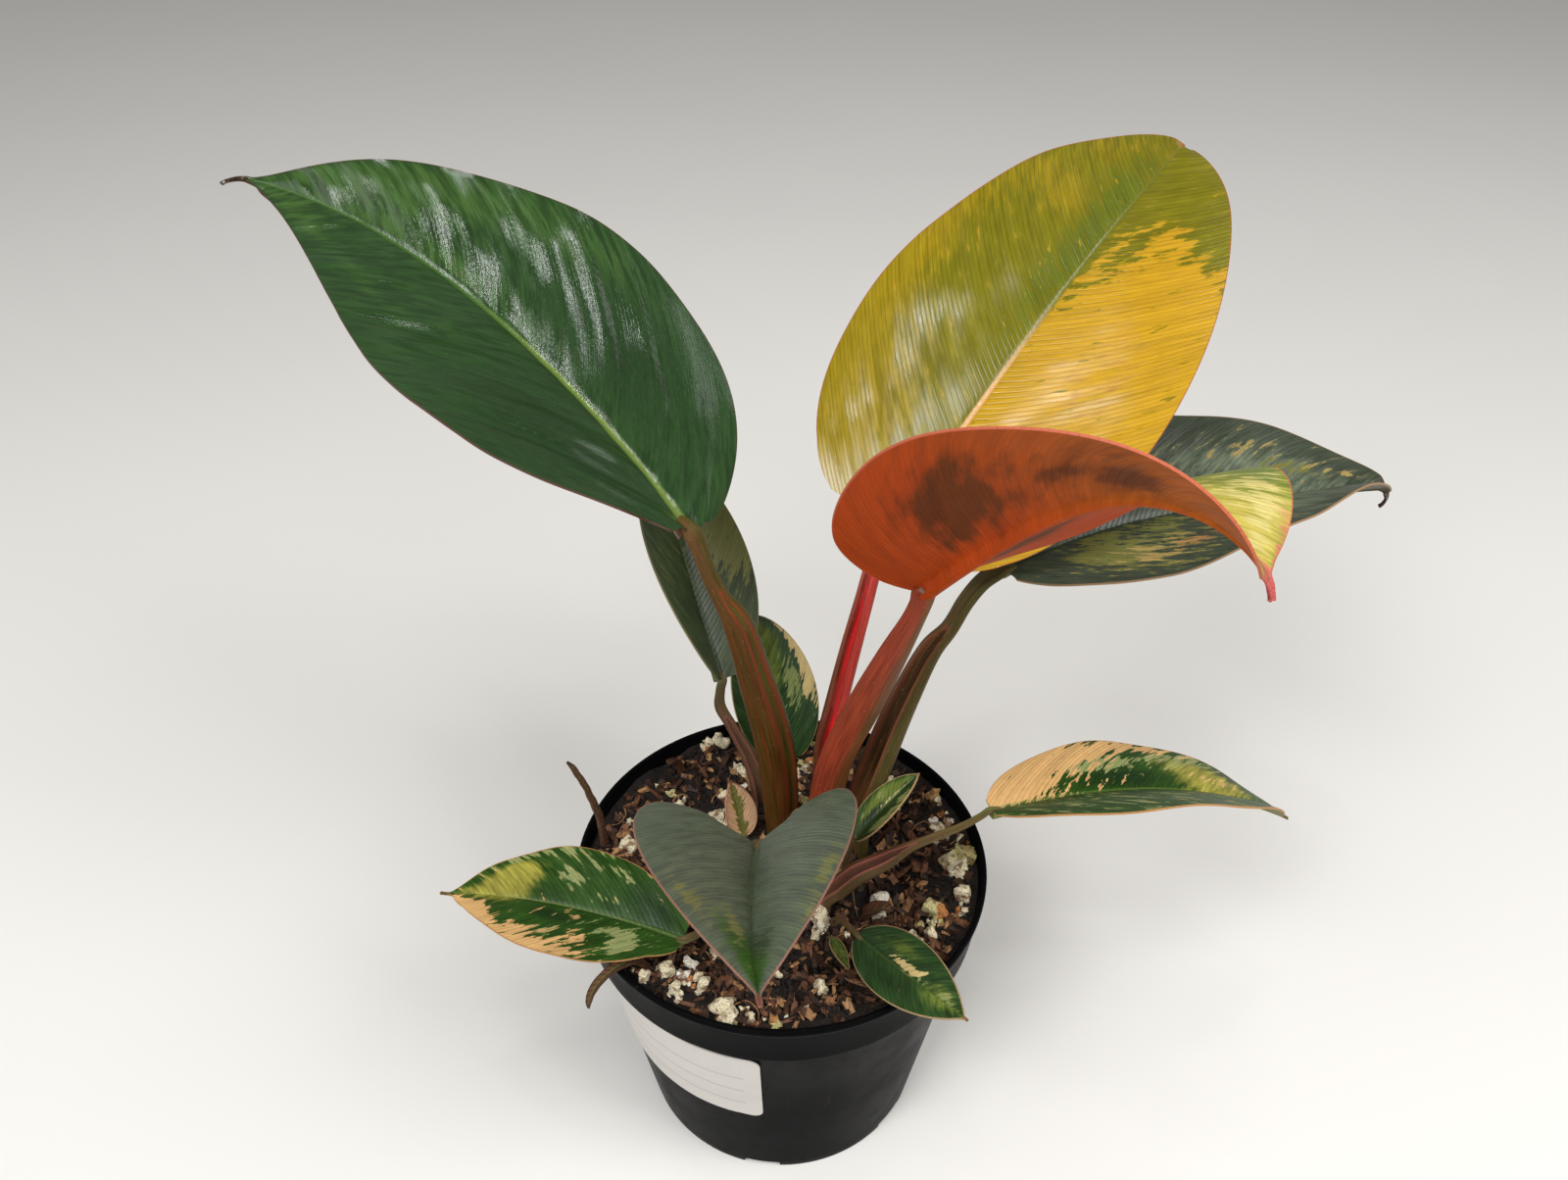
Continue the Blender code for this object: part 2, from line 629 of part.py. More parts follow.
def soil_holes():
    """Centre, radius and floor of each plain hole that a stem stands in."""
    holes = [(*CROWN_CENTRE, CROWN_RADIUS + HOLE_CLEARANCE, CROWN_BOTTOM - SEAT_GAP)]
    for stalk in SOIL_STALKS:
        foot = stalk.path[0]
        holes.append((foot[0], foot[1], stalk.half_widths[0] + HOLE_CLEARANCE,
                      ROOT_END - SEAT_GAP))
    for scale in DRY_SCALES:
        foot = scale.strip.base
        holes.append((foot[0], foot[1], scale.hole_radius, foot[2] - SEAT_GAP))
    return holes


def soil_height(x, y, holes, reach):
    """Height of the soil's surface, higher along the wall and level round the stems."""
    calm = min(1.0, (reach - math.hypot(x, y)) / SOIL_EDGE_CALM)
    for hole_x, hole_y, radius, _ in holes:
        away = math.hypot(x - hole_x, y - hole_y) - radius
        calm = min(calm, max(0.0, away / SOIL_EDGE_CALM))
    place = Vector((x, y, 0.0)) * SOIL_BUMP_SCALE
    climb = (math.hypot(x, y) - SOIL_RISE_START) / (reach - SOIL_RISE_START)
    climb = min(1.0, max(0.0, climb))
    rise = SOIL_EDGE_RISE * climb * climb * (3 - 2 * climb)
    return SOIL_TOP + rise + SOIL_BUMP * calm * noise.noise(place) * 2


def add_perlite(shape, draw, x, y, height):
    """A pale rounded grain, half sunk in the soil."""
    radius = draw.uniform(*PERLITE_RADIUS)
    turn = Matrix.Rotation(draw.uniform(0, math.tau), 4, "Z") @ Matrix.Rotation(
        draw.uniform(0, math.pi), 4, "X")
    squash = Matrix.Diagonal((1.0, draw.uniform(*PERLITE_SQUASH),
                              draw.uniform(*PERLITE_SQUASH), 1.0))
    place = Matrix.Translation((x, y, height + radius * GRAIN_SINK)) @ turn @ squash
    bmesh.ops.create_icosphere(shape, subdivisions=1, radius=radius, matrix=place)


def add_bark(shape, draw, x, y, height):
    """A flat splinter of bark, tipped and half sunk in the soil."""
    length = draw.uniform(*BARK_LENGTH)
    width = length * draw.uniform(*BARK_WIDTH_SHARE)
    thick = draw.uniform(*BARK_THICKNESS)
    turn = (Matrix.Rotation(draw.uniform(0, math.tau), 4, "Z")
            @ Matrix.Rotation(draw.uniform(-BARK_TILT, BARK_TILT), 4, "Y")
            @ Matrix.Rotation(draw.uniform(-BARK_TILT, BARK_TILT), 4, "X"))
    place = (Matrix.Translation((x, y, height)) @ turn
             @ Matrix.Diagonal((length, width, thick, 1.0)))
    bmesh.ops.create_cube(shape, size=1.0, matrix=place)


def grain_shapes(holes, reach):
    """All the grains and splinters on the surface, clear of the stems and of each other."""
    draw = random.Random(SOIL_SEED)
    shape = bmesh.new()
    taken = []
    kinds = ([(add_perlite, PERLITE_ROOM)] * PERLITE_COUNT
             + [(add_bark, BARK_ROOM)] * BARK_COUNT)
    for kind, room in kinds:
        for _ in range(GRAIN_TRIES):
            distance = GRAIN_REACH * math.sqrt(draw.random())
            angle = draw.uniform(0, math.tau)
            x, y = distance * math.cos(angle), distance * math.sin(angle)
            far_from_holes = all(math.hypot(x - hx, y - hy) > hr + room + GRAIN_TO_HOLE
                                 for hx, hy, hr, _ in holes)
            far_from_grains = all(math.hypot(x - gx, y - gy) > GRAIN_CROWDING * (room + other)
                                  for gx, gy, other in taken)
            if far_from_holes and far_from_grains and distance + room < GRAIN_REACH:
                kind(shape, draw, x, y, soil_height(x, y, holes, reach))
                taken.append((x, y, room))
                break
    return shape


def make_soil():
    """The potting mix that fills the pot, with its grains and the stems' holes."""
    neck = POT_HEIGHT - BAND_HEIGHT
    inset = POT_WALL + SEAT_GAP
    slope = (POT_RIM_RADIUS - BAND_FOOT_RADIUS) / BAND_HEIGHT
    floor = POT_FLOOR + SEAT_GAP
    reach = BAND_FOOT_RADIUS - inset + slope * (SOIL_TOP + SOIL_EDGE_RISE - neck)
    profile = [
        (0.0, floor),
        (wall_radius(floor) - inset, floor),
        (NECK_RADIUS - inset, neck - POT_WALL / 2),
        (BAND_FOOT_RADIUS - inset - POT_WALL / 2, neck + POT_WALL + SEAT_GAP),
    ]
    for ring in range(SOIL_RING_COUNT + 1):
        profile.append((reach * (1 - ring / SOIL_RING_COUNT), SOIL_TOP))
    shape = turned_solid(profile, POT_SIDES)
    holes = soil_holes()
    for corner in shape.verts:
        if corner.co.z > SOIL_TOP - MERGE_DISTANCE:
            corner.co.z = soil_height(corner.co.x, corner.co.y, holes, reach)
    bmesh.ops.triangulate(shape, faces=shape.faces)
    soil = add_object("soil", shape, "soil_dark")

    grains = add_object("soil_grains", grain_shapes(holes, reach), "soil_dark")
    join = soil.modifiers.new("grains", "BOOLEAN")
    join.operation = "UNION"
    join.solver = "EXACT"
    join.use_self = True
    join.object = grains
    apply_modifiers(soil)
    bpy.data.objects.remove(grains, do_unlink=True)

    cutters = bmesh.new()
    for x, y, radius, bottom in holes:
        top = POT_HEIGHT
        bmesh.ops.create_cone(cutters, cap_ends=True, cap_tris=False, segments=HOLE_SIDES,
                              radius1=radius / math.cos(math.pi / HOLE_SIDES),
                              radius2=radius / math.cos(math.pi / HOLE_SIDES),
                              depth=top - bottom,
                              matrix=Matrix.Translation((x, y, (top + bottom) / 2)))
    cutter = add_object("soil_cutters", cutters, "soil_dark")
    cut = soil.modifiers.new("holes", "BOOLEAN")
    cut.operation = "DIFFERENCE"
    cut.solver = "EXACT"
    cut.object = cutter
    apply_modifiers(soil)
    bpy.data.objects.remove(cutter, do_unlink=True)
    keep_largest_body(soil)
    return soil


def main():
    clear_scene()
    make_pot()
    make_label()
    make_soil()
    make_crown()
    blades = {blade.name: blade for blade in BLADES}
    for blade in BLADES:
        make_blade(blade)
    for stalk in CROWN_STALKS + SOIL_STALKS:
        make_stalk(stalk, blades[stalk.blade])
    for scale in DRY_SCALES:
        make_blade(scale.strip)


main()
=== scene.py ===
"""The looks of a potted variegated philodendron, dressed over its packed solids.

Metres, +Z up, with the pot's foot on the floor at the origin. The leaves follow the same
curved-sheet formula as their solids, only finer, so each one lies where its solid does.
"""
import math
import random
from dataclasses import dataclass, field

import bpy
from mathutils import Matrix, Vector, noise


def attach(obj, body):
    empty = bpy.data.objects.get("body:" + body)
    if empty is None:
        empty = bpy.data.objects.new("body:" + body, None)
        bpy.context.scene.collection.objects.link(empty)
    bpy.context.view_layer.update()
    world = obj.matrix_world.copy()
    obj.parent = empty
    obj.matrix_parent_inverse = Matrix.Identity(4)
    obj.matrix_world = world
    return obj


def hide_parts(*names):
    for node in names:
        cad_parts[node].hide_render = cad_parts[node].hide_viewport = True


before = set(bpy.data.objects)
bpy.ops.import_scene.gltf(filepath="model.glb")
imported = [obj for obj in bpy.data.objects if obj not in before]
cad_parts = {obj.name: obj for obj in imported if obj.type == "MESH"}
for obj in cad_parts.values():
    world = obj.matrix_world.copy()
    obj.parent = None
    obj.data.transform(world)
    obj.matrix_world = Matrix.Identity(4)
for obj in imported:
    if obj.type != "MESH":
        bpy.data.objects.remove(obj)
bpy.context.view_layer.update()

bl_info = {
    "name": "Potted Marbled Philodendron",
    "version": (1, 0, 0),
    "blender": (4, 5, 0),
    "location": "3D View > Sidebar > Plant",
    "description": "Builds a young philodendron with marbled leaves in a nursery pot",
    "category": "Add Mesh",
}

# The pot, as in its solid, with the finer steps of its moulded edges
POT_HEIGHT = 0.084
POT_RIM_RADIUS = 0.054
POT_FOOT_RADIUS = 0.039
POT_WALL = 0.0014
POT_FLOOR = 0.0016
BAND_HEIGHT = 0.0143
BAND_FOOT_RADIUS = 0.0521
NECK_RADIUS = 0.0505
NECK_HEIGHT = POT_HEIGHT - BAND_HEIGHT
SLOT_COUNT = 6
SLOT_WIDTH = 0.010
SLOT_DEPTH = 0.004
SLOT_HEIGHT = 0.0022
SLOT_ROUND = 0.0006
SLOT_FIRST_ANGLE = -98.0
ABOVE_SLOTS = SLOT_HEIGHT + 0.0006
LIP_FOOT = POT_HEIGHT - 0.0007
LIP_INSET = 0.00035
BEAD_TOP = LIP_FOOT - 0.0010
BEAD_FOOT = LIP_FOOT - 0.0016
BEAD_DEPTH = 0.0005
STEP_HEIGHT = 0.0012
STEP_WIDTH = 0.0001
FINE_GAP = 0.0001

# The label: its place and size, its grid and its ruled lines
LABEL_RIGHT_ANGLE = -96.0
LABEL_SPAN = 66.0
LABEL_TOP = 0.0665
LABEL_HEIGHT = 0.032
LABEL_CORNER = 0.003
LABEL_COLUMNS = 72
LABEL_ROWS = 160
LABEL_EASING = 0.11
LABEL_GAP = 0.00008
LABEL_BUBBLE = 0.00008
LABEL_EDGE_CURL = 0.00012
RULED_LINES = (0.34, 0.56, 0.78)
RULED_REACH = 0.42
RULED_FINENESS = 75

# The potting mix and the crown. A bump of the soil is (noise scale, height), and a step of
# the crown's sides is (share of its radius, height).
SOIL_TOP = 0.074
SOIL_EDGE_RISE = 0.006
SOIL_RISE_START = 0.027
SOIL_REACH = 0.0518
SOIL_SEED = 41
SOIL_BUMPS = ((70, 0.0016), (300, 0.0008), (900, 0.0004))
BED_SIDES = 168
BED_RINGS = 64
CROWN_CENTRE = (0.0105, 0.016)
CROWN_RADIUS = 0.0146
DOME_FOOT = 0.0738
DOME_HEIGHT = 0.0016
DOME_RINGS = 16
CROWN_SIDES = ((0.8, 0.058), (0.86, 0.068), (0.84, 0.0735))

# The leaf formula
MARK_KINDS = ("light", "deep", "sage", "pale", "rose")
ROW_EASING = 0.05
COLUMN_EASING = 1.3
CRUMPLE_SEED = 3
LEAN_AT_RIB = 0.8
LEAN_GROWTH = 0.45
RIB_END = 1.02
RIB_TAPER = 0.75
GROOVE_LIMIT = 0.1
BASE_WIDTH_SHARE = 0.02
CALM_BASE = 0.05
MIDRIB_STEPS = 60
CENTIMETRE = 0.01
MILLIMETRE = 0.001
VEIN_LINE_PITCH = 0.16

# The stalk formula
STALK_RINGS = 84
STALK_SIDES = 40
STALK_DEPTH = 0.45
SHEATH_CLOSING = 7
ARCH_PLACE = 0.012
ARCH_LENGTH = 0.016
CHANNEL_START = 12
CHANNEL_DEPTH = 0.14
SHEATH_EDGE = 0.09
BLADE_START = 0.97
SCAR_PLACE = 0.955

# The stage, with the camera solved from the pot in the photograph
CAMERA_PLACE = (0.00066, -0.2287, 0.3415)
CAMERA_PITCH = 36.65
CAMERA_LENS = 29.25
SENSOR_WIDTH = 36.0
LAMP_TARGET = Vector((0.0, 0.0, 0.15))
FLOOR_SIZE = 12.0
WARM_WHITE = (1.0, 0.98, 0.95, 1.0)


def tone(red, green, blue):
    """A linear colour from the red, green and blue of a screen tone, 0 to 255."""
    shares = (red / 255, green / 255, blue / 255)
    return tuple(share / 12.92 if share <= 0.04045 else ((share + 0.055) / 1.055) ** 2.4
                 for share in shares)


def clamp(value):
    """A value held between 0 and 1."""
    return max(0.0, min(1.0, value))


@dataclass
class Mark:
    """A soft patch of colour centred at u along and v across a leaf.

    A strength near 0.4 gives scattered flecks, near 1 a whole patch, and below 0 it takes
    flecks away. A side of 1 or -1 keeps the patch to the left or right half.
    """

    u: float
    v: float
    long: float
    wide: float
    strength: float = 1.0
    side: int = 0


def marked(**kinds):
    """A leaf's marks by kind, each listed as the values of a Mark.

    Light and deep shift the green, pale and sage marble it with ragged flecks, and rose
    reddens it.
    """
    return {kind: tuple(Mark(*values) for values in marks) for kind, marks in kinds.items()}


@dataclass
class Skin:
    """The colours of one leaf, and how glossy it is."""

    green: tuple
    light: tuple
    deep: tuple
    pale: tuple
    rose: tuple
    rib: tuple
    margin: tuple
    under: tuple
    under_deep: tuple
    tip: tuple
    sage: tuple = tone(120, 134, 78)
    rib_far: tuple = tone(84, 108, 48)
    rib_share: float = 0.6
    # Painted shade: an underside colour that the far part of the blade turns to, where one is set
    under_far_shade: tuple = None
    roughness: float = 0.32
    gloss: float = 0.3
    crinkle: float = 0.2
    fleck_pull: float = 1.0
    fleck_grain: float = 5.6
    line_relief: float = 0.5
    pale_soft: float = 0.05
    vein_shade: float = 0.12
    mottle: float = 0.12


@dataclass
class Leaf:
    """One leaf blade: the shape of its sheet, its tip, its relief and its marks."""

    name: str
    base: tuple
    heading: float
    rise: float
    length: float
    half_width: float
    skin: Skin
    turn: float = 0.0
    droop: float = 0.0
    droop_power: float = 1.3
    roll: float = 0.0
    twist: float = 0.0
    fold: float = 20.0
    curl: float = -14.0
    lift_left: tuple = (0.0, 1.0)
    lift_right: tuple = (0.0, 1.0)
    sweep_base: float = 0.0
    sweep_tip: float = 30.0
    base_taper: float = 0.6
    tip_taper: float = 0.85
    wave: float = 0.0
    waves: float = 3.0
    rows: int = 90
    columns: int = 36
    rib_depth: float = 0.0016
    rib_width: float = 0.0011
    tip_share: float = 0.03
    tip_width: float = 0.0006
    hook: float = 0.0
    hook_turn: float = 0.0
    lean: float = 45.0
    vein_spacing: float = 0.008
    vein_relief: float = 0.00008
    quilt: float = 0.0
    crumple: float = 0.0
    slot: str = "leaf_green"
    marks: dict = field(default_factory=dict)


UNDER_GREEN = tone(74, 86, 44)
UNDER_RUST = tone(96, 62, 34)
CREAM = tone(206, 182, 122)
PEACH = tone(216, 172, 112)
DRY_TIP = tone(62, 40, 28)

GLOSSY_GREEN = Skin(
    green=tone(36, 62, 28), light=tone(50, 78, 32), deep=tone(24, 44, 20), pale=tone(110, 132, 70),
    rose=tone(110, 60, 50), rib=tone(104, 124, 52), margin=tone(74, 44, 34), under=UNDER_RUST,
    under_deep=tone(60, 54, 34), tip=DRY_TIP, rib_far=tone(60, 92, 38), rib_share=0.75, roughness=0.08,
    gloss=0.4, crinkle=0.24, fleck_pull=0.7, line_relief=0.08, vein_shade=0.1, mottle=0.3)
OLIVE_GOLD = Skin(
    green=tone(106, 100, 8), light=tone(134, 114, 10), deep=tone(84, 92, 12), pale=tone(182, 140, 24),
    rose=tone(150, 104, 34), rib=tone(206, 160, 112), margin=tone(150, 74, 44),
    under=tone(164, 106, 30), under_deep=tone(120, 82, 28), tip=tone(140, 88, 50),
    sage=tone(110, 112, 18), rib_far=tone(96, 100, 30), rib_share=0.8, roughness=0.14, gloss=0.35,
    crinkle=0.1, pale_soft=0.12, fleck_grain=2.0, line_relief=0.3, vein_shade=0.2)
# The far underside colour of this skin is painted shade: the cupped underside turns darker olive-brown
# further along, where it lies in shade.
BURNT_ORANGE = Skin(
    green=tone(112, 126, 54), light=tone(188, 172, 78), deep=tone(80, 92, 40), pale=tone(206, 192, 118),
    rose=tone(186, 96, 84), rib=tone(176, 150, 80), margin=tone(184, 92, 70), under=tone(174, 64, 6),
    under_deep=tone(98, 44, 4), under_far_shade=tone(160, 80, 10), tip=tone(176, 84, 80), roughness=0.42,
    gloss=0.15, pale_soft=0.15, vein_shade=0.05)
BLUE_GREEN = Skin(
    green=tone(58, 66, 50), light=tone(96, 106, 86), deep=tone(20, 28, 18), pale=tone(158, 138, 80),
    rose=tone(164, 112, 68), rib=tone(44, 54, 36), margin=tone(150, 118, 84), under=tone(88, 84, 60),
    under_deep=tone(56, 60, 44), tip=DRY_TIP, sage=tone(104, 104, 50), rib_far=tone(50, 62, 42),
    rib_share=0.5, roughness=0.3, mottle=0.25)
GREY_GREEN = Skin(
    green=tone(88, 99, 79), light=tone(54, 88, 26), deep=tone(52, 66, 44), pale=tone(120, 122, 72),
    rose=tone(130, 96, 84), rib=tone(84, 100, 68), margin=tone(132, 92, 78), under=tone(96, 84, 66),
    under_deep=tone(70, 66, 50), tip=tone(120, 76, 62), sage=tone(98, 108, 68),
    rib_far=tone(60, 84, 40), rib_share=0.35, roughness=0.42, pale_soft=0.22, fleck_pull=0.7,
    vein_shade=0.06, mottle=0.22)
PEACH_MARBLE = Skin(
    green=tone(44, 76, 22), light=tone(150, 144, 60), deep=tone(24, 48, 16), pale=PEACH,
    rose=tone(206, 128, 86), rib=tone(96, 116, 54), margin=tone(176, 128, 80), under=tone(124, 120, 70),
    under_deep=tone(90, 92, 52), tip=tone(112, 92, 50), sage=tone(138, 146, 92),
    rib_far=tone(110, 122, 50), rib_share=0.45, roughness=0.34, gloss=0.16, pale_soft=0.06,
    vein_shade=0.16, mottle=0.34)
CREAM_MARBLE = Skin(
    green=tone(40, 66, 30), light=tone(96, 112, 44), deep=tone(24, 42, 20), pale=CREAM,
    rose=tone(186, 132, 100), rib=tone(84, 100, 56), margin=tone(166, 136, 96), under=UNDER_GREEN,
    under_deep=tone(56, 66, 38), tip=tone(128, 92, 60), sage=tone(124, 134, 76), rib_share=0.4,
    roughness=0.3, fleck_pull=0.8, mottle=0.3)
SAGE_MARBLE = Skin(
    green=tone(58, 70, 42), light=tone(80, 90, 52), deep=tone(38, 50, 30), pale=tone(112, 114, 62),
    rose=tone(130, 96, 72), rib=tone(64, 76, 46), margin=tone(110, 100, 70), under=UNDER_GREEN,
    under_deep=tone(56, 66, 38), tip=tone(100, 74, 50), rib_share=0.4, roughness=0.36, mottle=0.25)
PINK_STRIPE = Skin(
    green=tone(104, 100, 46), light=tone(140, 130, 66), deep=tone(84, 84, 36), pale=tone(190, 152, 116),
    rose=tone(180, 116, 88), rib=tone(104, 100, 46), margin=tone(150, 100, 78),
    under=tone(184, 138, 106), under_deep=tone(96, 96, 50), tip=tone(104, 76, 46), rib_share=0.2,
    roughness=0.42, mottle=0.15)

